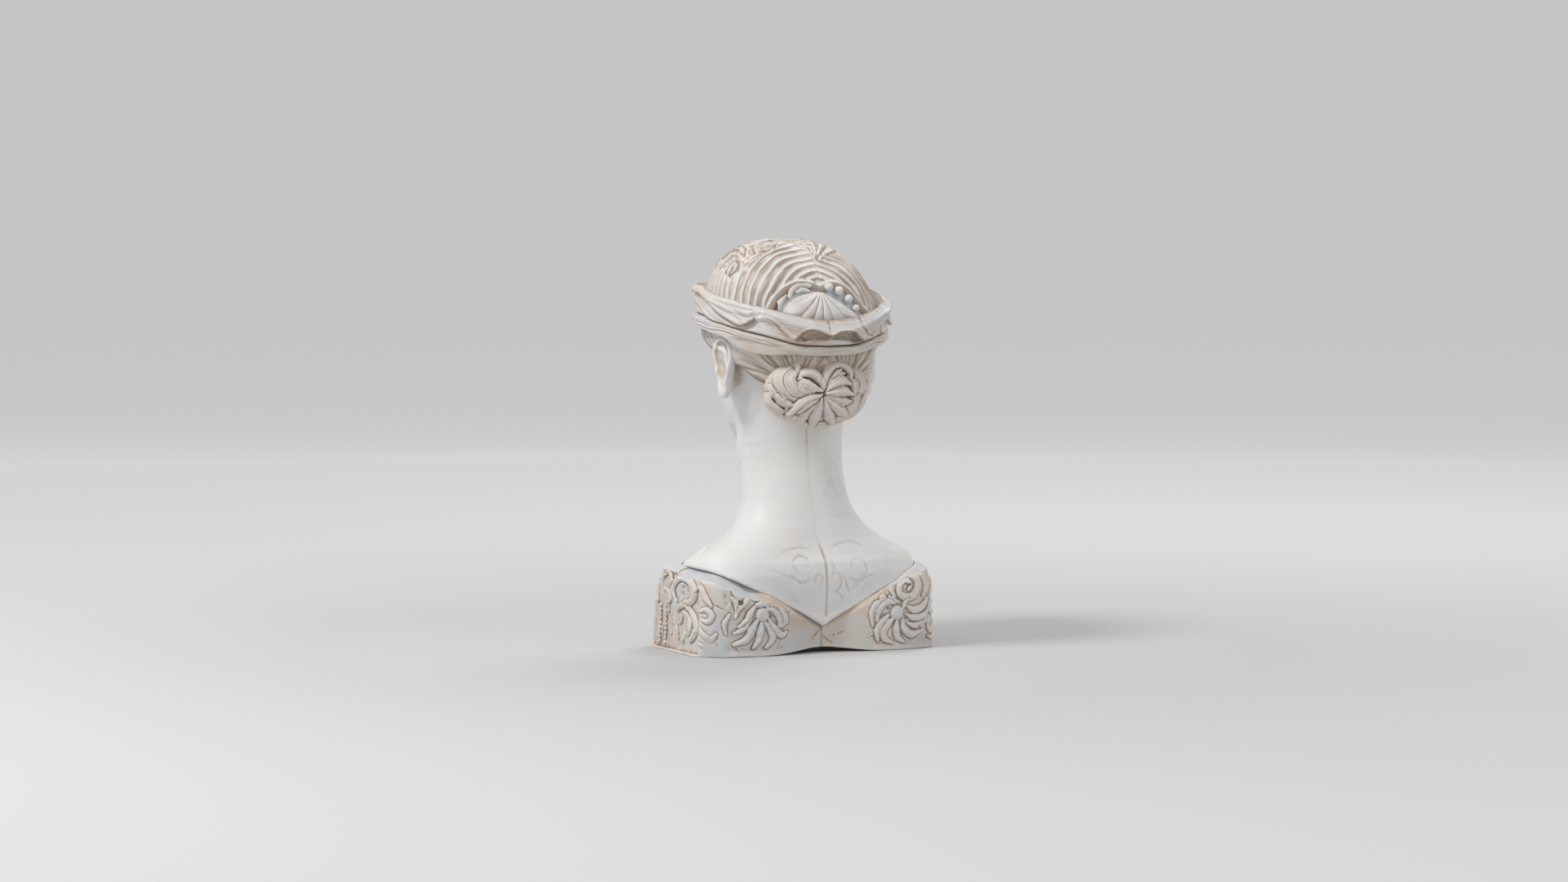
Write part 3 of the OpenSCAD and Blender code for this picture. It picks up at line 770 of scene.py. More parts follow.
def hair_cap():
    cols, rows = int(540 / COARSE), int(165 / COARSE)
    # the columns stand closer together over the back of the head
    spread = np.linspace(-1, 1, cols, endpoint=False)
    az = (180 * (0.78 * spread + 0.22 * spread**3)) % 360
    foot = np.zeros(cols)
    for _ in range(30):
        p = over(HAIR, az, foot, 0.0)
        target = along(HAIRLINE, p[:, 1])
        foot = 0.6 * foot + 0.4 * el_at(az, target)
    share = np.linspace(0, 1, rows)
    el = foot[None, :] + (89.7 - foot[None, :]) * share[:, None]
    azg = np.broadcast_to(az, el.shape)
    base = over(HAIR, azg, el, 0.0)
    flat = base.reshape(-1, 3)
    relief = hair_relief(flat, wrap_az(azg).ravel(), flat[:, 2]).reshape(el.shape)
    # the chisel marks are worn soft
    for _ in range(1):
        relief = 0.5 * relief + 0.25 * (np.roll(relief, 1, 1) + np.roll(relief, -1, 1))
        relief[1:-1] = 0.5 * relief[1:-1] + 0.25 * (relief[2:] + relief[:-2])
    edge = np.linalg.norm(base - base[:1], axis=2)
    w = 9.0
    round_off = 11.8 * (1 - np.sqrt(np.clip(1 - (1 - np.clip(edge / w, 0, 1)) ** 2, 0, 1)))
    outer = over(HAIR, azg, el, relief * step(0, 5, edge) - 1.6 - round_off)
    cols2, rows2 = cols, 14
    share2 = np.linspace(1, 0, rows2)
    el2 = foot[None, :] + (89.7 - foot[None, :]) * share2[:, None]
    az2 = np.broadcast_to(az, el2.shape)
    inner = over(SKULL, az2, el2, GAP)
    first = over(HAIR, az, foot, -11.8)
    inner[-1] = first * 0.5 + inner[-1] * 0.5
    verts = np.vstack([outer.reshape(-1, 3), inner.reshape(-1, 3)])
    faces = [sheet((rows, cols)), sheet((rows2, cols2), start=rows * cols)]
    last, begin = rows * cols + (rows2 - 1) * cols, 0
    i = np.arange(cols)
    j = (i + 1) % cols
    faces.append(np.stack([last + i, last + j, begin + j, begin + i], 1))
    half = cols // 2 - 1
    k = np.arange(half)
    for start, flip in (((rows - 1) * cols, False), (rows * cols, True)):
        quad = start + np.stack([k, k + 1, cols - 2 - k, cols - 1 - k], 1)
        faces.append(quad[:, ::-1] if flip else quad)
    return from_head(verts), np.vstack(faces)


# ---------------------------------------------------------------- the two bands
LEAF_A = [(37, 337), (41, 334), (44, 327.5), (50, 331), (56, 336), (66, 343), (77, 354), (89, 362), (110, 366), (135, 367.5), (160, 368.5), (180, 369)]
LEAF_B = [(50, 322), (54, 324), (70, 330), (78, 336), (89, 343), (97, 350), (115, 356.5), (135, 359), (160, 360), (180, 360.5)]
LEAF_C = [(48, 320), (58, 324), (69, 325), (81, 333), (96, 342), (115, 348), (135, 350), (160, 351), (180, 351.5)]
ALMONDS = [[(17, 317), (13, 323.5), (8, 326.5), (2, 323), (0, 319), (7, 316.5), (13, 315)],
           [(-1, 319), (-6, 324.5), (-12, 324.5), (-16, 320), (-19, 314.5), (-9, 317)]]
FOLDS = [([(38, 338), (32, 337), (28, 333), (23, 324), (17, 317)], 2.2),
         ([(33, 340), (29, 336), (26, 331), (21, 323)], 1.8),
         ([(29, 330), (25, 325), (21, 319), (16, 315.5)], 1.6),
         ([(-19, 330), (-24, 323), (-30, 320), (-38, 323), (-50, 332)], 1.8),
         ([(-20, 316), (-27, 317), (-38, 319), (-52, 325)], 1.5),
         ([(-22, 326), (-30, 327), (-40, 335), (-60, 345)], 1.5),
         ([(-26, 335), (-38, 341), (-58, 350)], 1.3),
         ([(62, 350), (50, 345), (42, 342), (36, 342)], 1.3),
         ([(84, 362), (66, 352), (52, 343), (46, 336)], 1.6),
         ([(88, 352), (72, 341), (60, 334), (52, 328)], 1.5),
         ([(90, 340), (74, 330), (62, 326), (54, 322)], 1.2)]


def curve(table, v):
    """A line through the table with its corners rounded."""
    return np.mean([along(table, v + d) for d in (-4.5, -3, -1.5, 0, 1.5, 3, 4.5)], axis=0)


def band_relief(p, az, z, lip_low, foot):
    """How far the face of the upper band stands out over the hair."""
    x = az * 1.68
    side = np.abs(az)
    # mirrored on the unseen side: the same leaves fold over the other temple
    leaf = np.where(az > 0, az, -az - 8 * step(0, 60, -az) * step(180, 120, -az))
    out = np.full(len(az), 7.2)
    a, b, c = (curve(table, leaf) for table in (LEAF_A, LEAF_B, LEAF_C))
    far = step(36, 40, leaf)
    out = out + far * (3.4 * step(-0.4, 0.5, z - a) - 1.0
                       - 2.0 * (1 - step(-0.4, 0.5, z - b)) - 1.2 * (1 - step(-0.4, 0.5, z - c)))
    for edge in (a, b, c):
        out = out - 1.1 * far * np.exp(-(((z - edge + 0.9) / 0.8) ** 2))
    # each leaf swells towards its lower edge
    for edge, size in ((a, 1.6), (b, 1.3)):
        out = out + far * size * np.exp(-(((z - edge - 2.6) / 3.2) ** 2)) * step(-0.3, 0.7, z - edge)
    near = 1 - far
    sag = (z - foot) / np.maximum(lip_low - foot, 1)
    out = out + near * (0.8 * np.sin(np.pi * np.clip(sag, 0, 1)))
    for path, size in FOLDS:
        for mirror in (1, -1):
            if mirror < 0 and abs(path[0][0]) < 45:
                continue
            line = spline([(q * 1.68 * mirror, h) for q, h in path], 6)
            close = (x > line[:, 0].min() - 8) & (x < line[:, 0].max() + 8)
            if not close.any():
                continue
            pts = np.stack([x[close], z[close]], 1)
            dist, t = line_distance(pts, line)
            taper = np.sin(np.pi * np.clip(t * 0.92 + 0.06, 0, 1)) ** 0.5
            out[close] += taper * (size * np.exp(-((dist / 1.9) ** 2)) - 0.5 * size * np.exp(-(((dist - 3.3) / 1.1) ** 2)))
    for poly in ALMONDS:
        d = inside_distance(x, z, [(q * 1.68, h) for q, h in poly])
        out = out - 9.5 * step(0.5, -1.4, d) + 1.6 * np.exp(-(((d - 1.3) / 1.2) ** 2))
    # small petals lying in the foot of each pit
    for q, h, w, tall in ((3.6, 316.0, 5.0, 2.8), (10.5, 315.4, 5.6, 2.7), (-5.0, 316.2, 5.0, 2.7), (-12.0, 315.4, 5.2, 2.7)):
        e = np.hypot((az - q) * 1.68 / w, (z - h) / tall)
        out = np.where(e < 1, np.maximum(out, 1.6 + 4.2 * np.sqrt(np.clip(1 - e**2, 0, 1))), out)
    d_tab = inside_distance(x, z, [(q * 1.68, h) for q, h in ((-34, 331), (-45, 329.5), (-47, 323), (-36, 319))])
    out = out + 1.6 * step(0.5, -1.0, d_tab)
    flow = 0.4 * ridges(z - 0.9 * lip_low + 1.3 * grain(p, 16), 3.6, 2)
    return out + flow * (0.5 + 0.5 * near)


def band_loop(az, base_z, base_out):
    """Points around a band from rows of heights and distances over the hair."""
    return over(HAIR, az, el_at(az, base_z, base_out), base_out)


def upper_fillet():
    cols, face_rows = int(700 / COARSE), int(74 / COARSE)
    az1 = np.linspace(-180, 180, cols, endpoint=False)
    foot = along(LOWER_MID, np.abs(az1)) + along(LOWER_HALF, np.abs(az1)) + 0.5
    top, low = along(LIP_TOP, az1), along(LIP_LOW, az1)
    low = np.maximum(low, foot + 5)
    ripple = 0.3 * grain(over(HAIR, az1, 25.0, 0), 11.0)
    top = top + ripple
    t = np.linspace(0, 1, face_rows)[:, None]
    z_face = foot + (low - foot) * t
    az = np.broadcast_to(az1, z_face.shape)
    lo_g, fo_g = np.broadcast_to(low, z_face.shape), np.broadcast_to(foot, z_face.shape)
    relief = band_relief(over(HAIR, az, el_at(az, z_face), 0).reshape(-1, 3), az.ravel(), z_face.ravel(), lo_g.ravel(), fo_g.ravel()).reshape(z_face.shape)
    flare = 4.6 * step(0.45, 1.0, t) * np.interp(np.abs(az1), [0, 30, 60, 90, 180], [1, 1, 0.75, 0.35, 0.2])
    bottom_round = -3.2 * (1 - np.sqrt(np.clip(1 - (1 - np.clip(t * (low - foot) / 3.2, 0, 1)) ** 2, 0, 1)))
    out_face = relief + flare + bottom_round
    rows_z, rows_out = [z_face], [out_face]
    # the rim: a pale bevel between its outer and inner edges, then down inside to the hair
    edge_out = out_face[-1]
    for share, drop in ((0.03, 0.15), (0.08, 0.5), (0.16, 0.95), (0.26, 1.45), (0.36, 1.95), (0.46, 2.45),
                        (0.56, 2.9), (0.66, 3.4), (0.76, 3.85), (0.86, 4.3), (0.93, 4.7), (0.98, 5.1), (1.0, 5.6)):
        rows_z.append((low + (top - low) * share)[None])
        line = 0.35 * ridges(share * 14 + 0.8 * grain(over(HAIR, az1, 25.0 + 5 * share, 0), 9.0), 4.5, 2)
        rows_out.append((edge_out - drop * np.interp(np.abs(az1), [0, 60, 180], [1.0, 0.8, 0.6]) + line)[None])
    crest = rows_out[-1][0]
    for share in (0.04, 0.12, 0.25, 0.4, 0.55, 0.7, 0.85, 1.0):
        rows_z.append((top - share * 7.5)[None])
        rows_out.append((crest - 1.0 - (crest - 2.2) * share**0.8)[None])
    inner_top = rows_z[-1][0]
    for share in np.linspace(0, 1, 7):
        rows_z.append((inner_top + (foot - inner_top) * share)[None])
        rows_out.append(np.full((1, cols), -2.4))
    zg, og = np.vstack(rows_z), np.vstack(rows_out)
    azg = np.broadcast_to(az1, zg.shape)
    verts = band_loop(azg, zg, og).reshape(-1, 3)
    faces = sheet(zg.shape, wrap_rows=True)
    return from_head(verts), faces


LAPPET = [(-180, 0), (18, 0), (23, 2.5), (32, 7), (42, 8.5), (52, 6), (62, 1), (64, 0), (180, 0)]


def lower_fillet():
    cols, rows = int(680 / COARSE), int(50 / COARSE)
    az1 = np.linspace(-180, 180, cols, endpoint=False)
    mid, half = along(LOWER_MID, np.abs(az1)), along(LOWER_HALF, np.abs(az1))
    mid = mid + np.where(az1 < 0, -0.8, 0.4) * step(5, 30, np.abs(az1)) * step(160, 60, np.abs(az1))
    phi = np.linspace(-np.pi / 2, np.pi / 2, rows)[:, None]
    lobe = np.abs(np.sin(phi)) ** 0.8 * np.sign(np.sin(phi))
    z = mid + half * lobe
    # a flat lappet of the band hangs below it beside the knot
    hang = along(LAPPET, az1)
    drop = step(-0.15, -1.0, lobe) * hang
    z = z - drop
    bulge = 8.0 * np.cos(phi) ** 0.5
    flat = step(0.5, 6, hang) * step(0.1, -0.25, lobe)
    bulge = bulge * (1 - flat) + (7.6 - 3.0 * step(-0.93, -1.0, lobe)) * flat
    azf = np.broadcast_to(az1, z.shape)
    spot = over(HAIR, azf, el_at(azf, z), 0).reshape(-1, 3)
    s = (z + drop - mid) + 1.3 * np.sin(np.radians(az1) * 5) + 1.2 * grain(spot, 14).reshape(z.shape)
    groove = 1.0 * ridges(s + 2.2, 5.4, 3.2) + 0.3 * ridges(s, 1.9, 2)
    split = -1.7 * np.exp(-(((s - 0.8) / 0.9) ** 2)) * step(20, 42, np.abs(az1))
    crease = -1.2 * np.exp(-(((lobe + 0.12) / 0.07) ** 2)) * step(0.5, 6, hang)
    out = -1.0 + bulge + (groove + split) * np.cos(phi) ** 0.3 * (1 - flat) + crease
    back_z = z[-1] + (z[0] - z[-1]) * np.linspace(0.02, 0.98, 6)[:, None]
    zg = np.vstack([z, back_z])
    og = np.vstack([out, np.full((6, cols), -2.2)])
    azg = np.broadcast_to(az1, zg.shape)
    verts = band_loop(azg, zg, og).reshape(-1, 3)
    return from_head(verts), sheet(zg.shape, wrap_rows=True)


# ---------------------------------------------------------------- the knot and the shell
KNOT_MID = np.array([0.0, 78.0, 263.0])


# leaves of the knot, each over the last: path, half widths from end to end, height, level below
PETALS = [
    ([(14, 34), (28, 34), (40, 28)], (2.8, 5.4, 3.0), 3.0, 0.0), ([(-50, 20), (-42, 30), (-30, 35)], (3.0, 5.6, 3.4), 3.0, 0.0),
    ([(22, -29), (34, -20), (43, -8), (47, 4)], (2.8, 6.0, 6.4, 3.6), 3.2, 0.0),
    ([(-30, -26), (-16, -33), (2, -34), (16, -30)], (3.0, 5.6, 6.0, 3.6), 3.2, 0.0),
    ([(-52, -10), (-46, -19), (-37, -25)], (2.2, 5.0, 2.8), 2.8, 0.2),
    ([(26, 32), (38, 28), (48, 18), (48, 6)], (4.2, 7.4, 7.8, 4.4), 4.0, 0.4),
    ([(30, 26), (39, 17), (40, 6), (32, -5)], (4.0, 7.6, 7.6, 3.8), 4.2, 1.0), ([(26, 16), (32, 9), (32, -1)], (2.4, 5.4, 2.4), 3.0, 2.4),
    ([(12, -27), (22, -22), (31, -13), (37, -4)], (3.0, 6.4, 6.8, 3.8), 3.6, 0.8),
    ([(-28, -6), (-42, -2), (-52, 7), (-51, 18), (-42, 28), (-30, 34)], (4.0, 7.0, 7.4, 7.4, 6.8, 3.6), 4.2, 0.4),
    ([(-24, -2), (-38, 2), (-45, 12), (-40, 22), (-28, 29)], (4.0, 7.8, 8.2, 7.6, 4.0), 4.4, 1.4),
    ([(-18, 1), (-31, 5), (-36, 14), (-29, 23)], (4.0, 7.8, 7.6, 4.0), 4.4, 2.4), ([(-14, 3), (-24, 7), (-27, 15)], (3.0, 6.0, 3.0), 3.4, 3.6),
    ([(-56, 8), (-52, 0), (-44, -6), (-37, -8)], (2.2, 4.0, 4.2, 1.6), 3.2, 2.0), ([(-50, -1), (-46, -8), (-38, -11), (-30, -12)], (1.8, 3.6, 3.6, 1.6), 3.0, 2.0),
    ([(-56, 0), (-56, -8), (-49, -15), (-41, -18)], (2.2, 4.2, 4.4, 2.0), 3.2, 1.0),
    ([(-39, -15), (-34, -22), (-24, -29), (-14, -33)], (2.4, 5.6, 5.8, 3.2), 3.6, 0.6),
    ([(-14, 26), (-4, 28), (6, 34)], (2.6, 5.6, 2.0), 2.2, 0.6), ([(-26, 22), (-28, 31), (-20, 36), (-11, 36), (-3, 32)], (2.6, 5.6, 5.6, 3.6, 0.8), 4.2, 2.2),
    ([(-6, -4), (-14, -13), (-21, -22), (-25, -29)], (1.2, 5.0, 6.0, 3.4), 3.4, 1.2),
    ([(-4, -4), (-7, -14), (-10, -24), (-11, -32)], (1.2, 5.2, 6.8, 3.6), 4.2, 2.0),
    ([(-1, -4), (2, -14), (6, -23), (11, -30)], (1.2, 5.0, 6.0, 3.0), 4.0, 2.0), ([(0, -3), (9, -11), (17, -17), (24, -22)], (1.2, 5.6, 6.6, 2.6), 4.2, 2.4),
    ([(-5, -1), (-15, -5), (-26, -11), (-37, -20)], (1.2, 5.6, 7.0, 3.0), 4.4, 3.0), ([(-10, -6), (-19, -11), (-29, -19)], (0.8, 2.6, 1.4), 1.8, 5.4),
    ([(1, -1), (10, -4.5), (20, -8), (28, -8)], (1.2, 4.4, 5.4, 1.4), 3.4, 3.0),
    ([(-3, 4), (-5, 13), (-13, 20.5), (-22, 21), (-29, 15)], (1.2, 4.6, 5.6, 4.8, 1.2), 4.4, 3.4), ([(-4, 3), (-13, 6), (-21, 11), (-27, 16)], (1.2, 4.4, 4.8, 1.2), 3.6, 3.4),
    ([(-2, 5), (-1, 14), (5, 24), (13, 30), (22, 29), (28, 22), (28, 14)], (1.2, 4.2, 5.8, 6.0, 5.2, 4.4, 1.6), 4.6, 3.0),
    ([(1, 6), (7, 14), (14, 19.5), (21, 20)], (1.4, 4.6, 5.0, 1.4), 3.8, 3.6), ([(6, 16), (12, 21.5), (18, 24)], (0.8, 2.2, 0.8), 1.4, 5.8),
    ([(0, 3), (9, 9.5), (18, 12.5), (27, 9.5)], (1.2, 5.2, 6.2, 1.6), 4.6, 4.0), ([(0, 0.5), (10, 1.5), (20, 2.0), (29, -1)], (1.2, 4.8, 5.8, 1.6), 4.2, 4.0)]


def chignon():
    base = egg(KNOT_MID + [3, -1, 0], (54, 17, 33))[2]
    leaves = [(spline(path, 6), np.array(w, float), height, level) for path, w, height, level in PETALS]

    def carving(u, v):
        out = np.full(len(u), 0.6)
        flat = np.stack([u, v], 1)
        for line, w, height, level in leaves:
            near = ((flat > line.min(0) - 9) & (flat < line.max(0) + 9)).all(1)
            if not near.any():
                continue
            dist, t = line_distance(flat[near], line)
            width = np.interp(t, np.linspace(0, 1, len(w)), w)
            inside = np.clip(1 - (dist / width) ** 2, 0, 1)
            full = np.clip(width / w.max(), 0, 1)
            strand = 0.5 * ridges(dist + 0.4 * grain(np.stack([flat[near][:, 0], flat[near][:, 1], 0 * dist], 1), 9) + 0.9, 3.9, 2.0)
            grown = level * step(0, 0.3, inside) + 1.15 * height * inside**0.62 * (0.35 + 0.65 * full) + strand * step(0, 0.3, inside)
            now = out[near] - 0.9 * np.exp(-(((dist - width - 0.6) / 1.1) ** 2))
            out[near] = -join(-np.where(inside > 0, grown, -2.0), -now, 0.7)
        return out

    def solid(p):
        q = to_head(p)
        r = q - KNOT_MID
        out = carving(-r[:, 0], r[:, 2])
        facing = step(-16, 2, r[:, 1])
        f = base(q) - out * (0.45 + 0.55 * facing)
        # the back of the knot is flat where it sits on the hair
        return both(f, KNOT_LOW[1] - 1.5 - p[:, 1], 0.4)

    low, high = KNOT_LOW - 7, KNOT_HIGH + 7
    return net(solid, low, high, 0.82)


SHELL = [(26.5, 336), (24.5, 348), (19.5, 356.5), (13, 361.5), (6, 363.8), (0.3, 365), (-5, 362.6), (-11.5, 356), (-18.5, 348.5), (-23.5, 341), (-24, 335), (0, 330)]
RIB_EDGES = [-90, -60, -37, -14, 5, 23, 42, 66, 90]


def shell_comb():
    clay = Clay(lambda q: np.full(len(q), 50.0))
    for path, radii, lift in (([(26, 344), (25, 351), (21.5, 358)], (2.0, 3.7, 2.2), -1.4),
                              ([(19, 357), (17, 363), (11.5, 366.5), (5.5, 365.5)], (2.2, 4.0, 4.0, 1.8), -1.2),
                              ([(14.5, 360.5), (11.0, 362.5), (7.0, 361.5)], (1.4, 2.6, 1.4), -1.0)):
        clay.add(rod(on_hair(path, lift), radii, 6, 4, 0.35), 0.5)
    for spot, r in (((-6.6, 364.6), 4.8), ((-13.0, 361.6), 4.9), ((-18.4, 354.8), 4.5), ((-22.4, 346.6), 3.8)):
        clay.add(egg(on_hair([spot], -1.0)[0], (r, r * 1.1, r * 0.95)), 0.3)

    def solid(p):
        q = to_head(p)
        az = np.degrees(np.arctan2(q[:, 0], q[:, 1] - SKULL_C[1]))
        away = rounded(HAIR, q)
        d = inside_distance(az * 1.62, q[:, 2], [(a * 1.62, h) for a, h in SHELL])
        # flutes fan out downwards from the hinge under the parting
        fan = np.degrees(np.arctan2(az * 1.62, 366.5 - q[:, 2]))
        rib = np.interp(fan, RIB_EDGES, np.arange(len(RIB_EDGES)))
        swell = 1 - np.abs(2 * (rib - np.floor(rib)) - 1) ** 2.6
        face = -2.1 + 6.4 * np.sqrt(np.clip(-d / 13, 0, 1)) + 2.0 * swell * np.clip(-d / 5, 0, 1)
        f = both(np.maximum(away - face, -away - 8.0), d * 0.9, 0.8)
        return np.minimum(f, clay(q)) + 0.08 * grain(q, 3)

    low, high = box_mm("shell_comb")
    return net(solid, low - [4, 2, 3], high + [4, 8, 9], 0.66)


# ---------------------------------------------------------------- the carved bodice
NECK = Loft(NECK_ROWS, turned=True)
BODICE = Loft(BODICE_ROWS, valley=True)


def neckline(x):
    return NECKLINE_LOW + 61.0 * np.minimum(1, np.abs(x) / NECKLINE_HALF + 1e-9) ** 0.9


def tenon(p, out=0.0):
    q = np.abs(p - [0, 1, 45]) - [74 - 14 + out, 45 - 14 + out, 45 + out]
    flat = np.maximum(q[:, :2], 0)
    side = np.hypot(flat[:, 0], flat[:, 1]) + np.minimum(np.maximum(q[:, 0], q[:, 1]), 0) - 14
    return np.maximum(side, q[:, 2])


def head_seat(p, out=0.0):
    """The part of the head block that stands in the bodice."""
    skin = np.maximum(NECK(p) - out, neckline(p[:, 0]) - 7 - out - p[:, 2])
    return np.minimum(skin, tenon(p, out))


def on_bodice(points, lift=0.0):
    """Points brought onto the face of the bodice, standing out by lift."""
    p = np.array(points, float)
    for _ in range(8):
        f, g = BODICE(p), slope(BODICE, p, 0.5)
        g /= np.maximum(np.linalg.norm(g, axis=1, keepdims=True), 0.3)
        g[:, 2] = 0
        p = p - f[:, None] * g
    return p + lift * g


BOSSES = [((71, 81, 42), 7.0), ((-80, 81, 38), 7.4), ((-64, 81, 54), 4.0), ((88, 79, 67), 2.6), ((73, 81, 24), 3.6)]
# path over the face of the bodice and radii of each carved tendril; lift of its axis
LEFT_BACK = [
    ([(93, 79, 74), (99, 78, 70), (97, 79, 62), (90, 80, 60), (87, 80, 66), (91, 80, 69)], (2.6, 3.4, 3.4, 3.0, 2.4, 1.6), 0),
    ([(78, 80, 75), (71, 81, 71), (71, 81, 64), (77, 81, 59), (83, 80, 63), (80, 80, 69)], (2.4, 3.4, 3.4, 3.2, 2.4, 1.6), 0),
    ([(96, 78, 74), (88, 79, 77), (79, 79, 75)], (1.8, 3.0, 1.8), 0.3),
    ([(86, 80, 63), (89, 80, 56), (96, 80, 49), (100, 79, 40)], (2.0, 3.4, 3.0, 1.6), 0.2),
    ([(103, 78, 60), (99, 79, 55), (99, 79, 48)], (1.8, 2.8, 1.6), 0.0),
    ([(76, 81, 52), (64, 81, 54), (53, 79, 47), (46, 78, 36), (50, 79, 30)], (2.4, 4.2, 4.4, 3.8, 2.0), 0.4),
    ([(72, 81, 57), (60, 81, 60), (49, 78, 54), (42, 78, 45)], (1.8, 3.2, 3.2, 1.6), 0),
    ([(66, 81, 48), (58, 80, 46), (52, 79, 38), (52, 79, 30)], (1.8, 3.2, 3.2, 1.8), 0.8),
    ([(79, 81, 50), (84, 81, 44), (88, 81, 36), (96, 80, 31)], (1.8, 3.4, 3.2, 1.6), 0.3),
    ([(77, 81, 36), (82, 81, 28), (88, 81, 18), (101, 79, 13)], (2.0, 4.0, 3.8, 2.0), 0.4),
    ([(83, 81, 38), (92, 80, 28), (102, 79, 24)], (1.6, 3.0, 1.4), 0.0),
    ([(72, 81, 34), (73, 81, 26), (75, 81, 17), (81, 81, 9)], (1.8, 3.8, 3.4, 1.6), 0.4),
    ([(68, 81, 34), (62, 81, 27), (60, 81, 17), (67, 81, 9)], (1.8, 3.4, 3.2, 1.6), 0.2),
    ([(64, 81, 37), (58, 80, 28), (50, 79, 21), (44, 78, 24)], (1.6, 3.4, 3.0, 1.4), 0.2),
    ([(62, 81, 64), (56, 79, 62), (51, 79, 67), (57, 79, 71)], (1.4, 2.4, 2.2, 1.2), 0),
    ([(56, 79, 58), (49, 78, 56), (46, 78, 61), (51, 78, 64)], (1.4, 2.2, 2.0, 1.2), 0),
    ([(105, 78, 44), (110, 76, 34), (109, 77, 24)], (1.4, 2.6, 1.4), -0.4)]
LEFT_SIDE = [
    ([(132, 7, 52), (132, -4, 58), (132, -5, 67), (131, 5, 75), (131, 21, 77), (131, 38, 72), (131, 46, 63), (132, 40, 55), (133, 24, 51), (133, 10, 46), (133, 6, 40)],
     (2.0, 3.0, 3.6, 4.0, 4.4, 4.6, 4.6, 4.4, 4.2, 3.6, 2.2), 0.4),
    ([(132, 6, 66), (132, 14, 70), (132, 26, 69), (132, 33, 63)], (1.4, 2.4, 2.4, 1.4), 0.2),
    ([(132, 2, 60), (132, 14, 61), (132, 26, 60)], (1.4, 2.4, 1.4), 0),
    ([(133, 21, 50), (133, 36, 46), (133, 47, 38), (133, 51, 29), (133, 46, 20), (134, 38, 14)], (2.2, 3.8, 4.6, 4.6, 4.2, 2.4), 0.4),
    ([(133, 20, 44), (133, 31, 40), (133, 39, 32), (133, 38, 24), (134, 32, 18)], (1.8, 3.2, 3.6, 3.2, 1.8), 0.2),
    ([(133, 12, 42), (133, 17, 37), (133, 15, 31), (133, 9, 33), (133, 11, 38)], (1.6, 2.8, 2.6, 2.2, 1.4), 0.2),
    ([(133, 25, 30), (133, 28, 22), (134, 22, 14), (134, 14, 11)], (1.6, 3.0, 2.8, 1.6), 0.1),
    ([(133, 3, 34), (134, 6, 22), (134, 12, 9)], (2.2, 3.4, 2.2), -0.8),
    ([(132, -36, 70), (131, -28, 77), (131, -16, 78), (131, -11, 71), (132, -18, 66), (132, -27, 68)], (1.8, 2.8, 3.0, 2.8, 2.4, 1.4), 0.2),
    ([(132, -37, 62), (132, -28, 63), (132, -18, 60), (132, -12, 52), (132, -20, 49), (132, -27, 54)], (1.8, 2.8, 3.0, 2.8, 2.4, 1.4), 0.1),
    ([(132, -47, 72), (132, -52, 60), (133, -48, 48), (133, -42, 50)], (1.6, 3.0, 3.0, 1.6), 0),
    ([(131, 49, 64), (130, 54, 70), (128, 60, 68), (126, 65, 60), (122, 70, 52)], (1.6, 2.8, 3.0, 3.0, 1.6), 0.1),
    ([(129, 58, 46), (125, 66, 48), (121, 70, 42), (124, 67, 36), (128, 61, 38)], (1.4, 2.6, 2.8, 2.4, 1.4), 0),
    ([(130, 60, 28), (127, 65, 22), (122, 70, 18), (118, 73, 24)], (1.4, 2.6, 2.8, 1.4), 0),
    ([(130, 58, 14), (125, 67, 10), (119, 73, 12)], (1.4, 2.4, 1.4), 0),
    ([(134, -9, 42), (134, -10, 26), (134, -8, 10)], (2.4, 2.8, 2.4), -1.4)]
BEADS = [(133, -22, z) for z in np.arange(8.0, 46, 4.6)] + [(133, -36, z) for z in np.arange(8.0, 46, 4.6)]
STRIPS = [[(134, -29, 4), (134, -29, 25), (133, -29, 47)], [(134, -43, 4), (134, -43, 25), (133, -43, 47)],
          [(134, -15.5, 4), (134, -15.5, 25), (133, -15.5, 47)]]
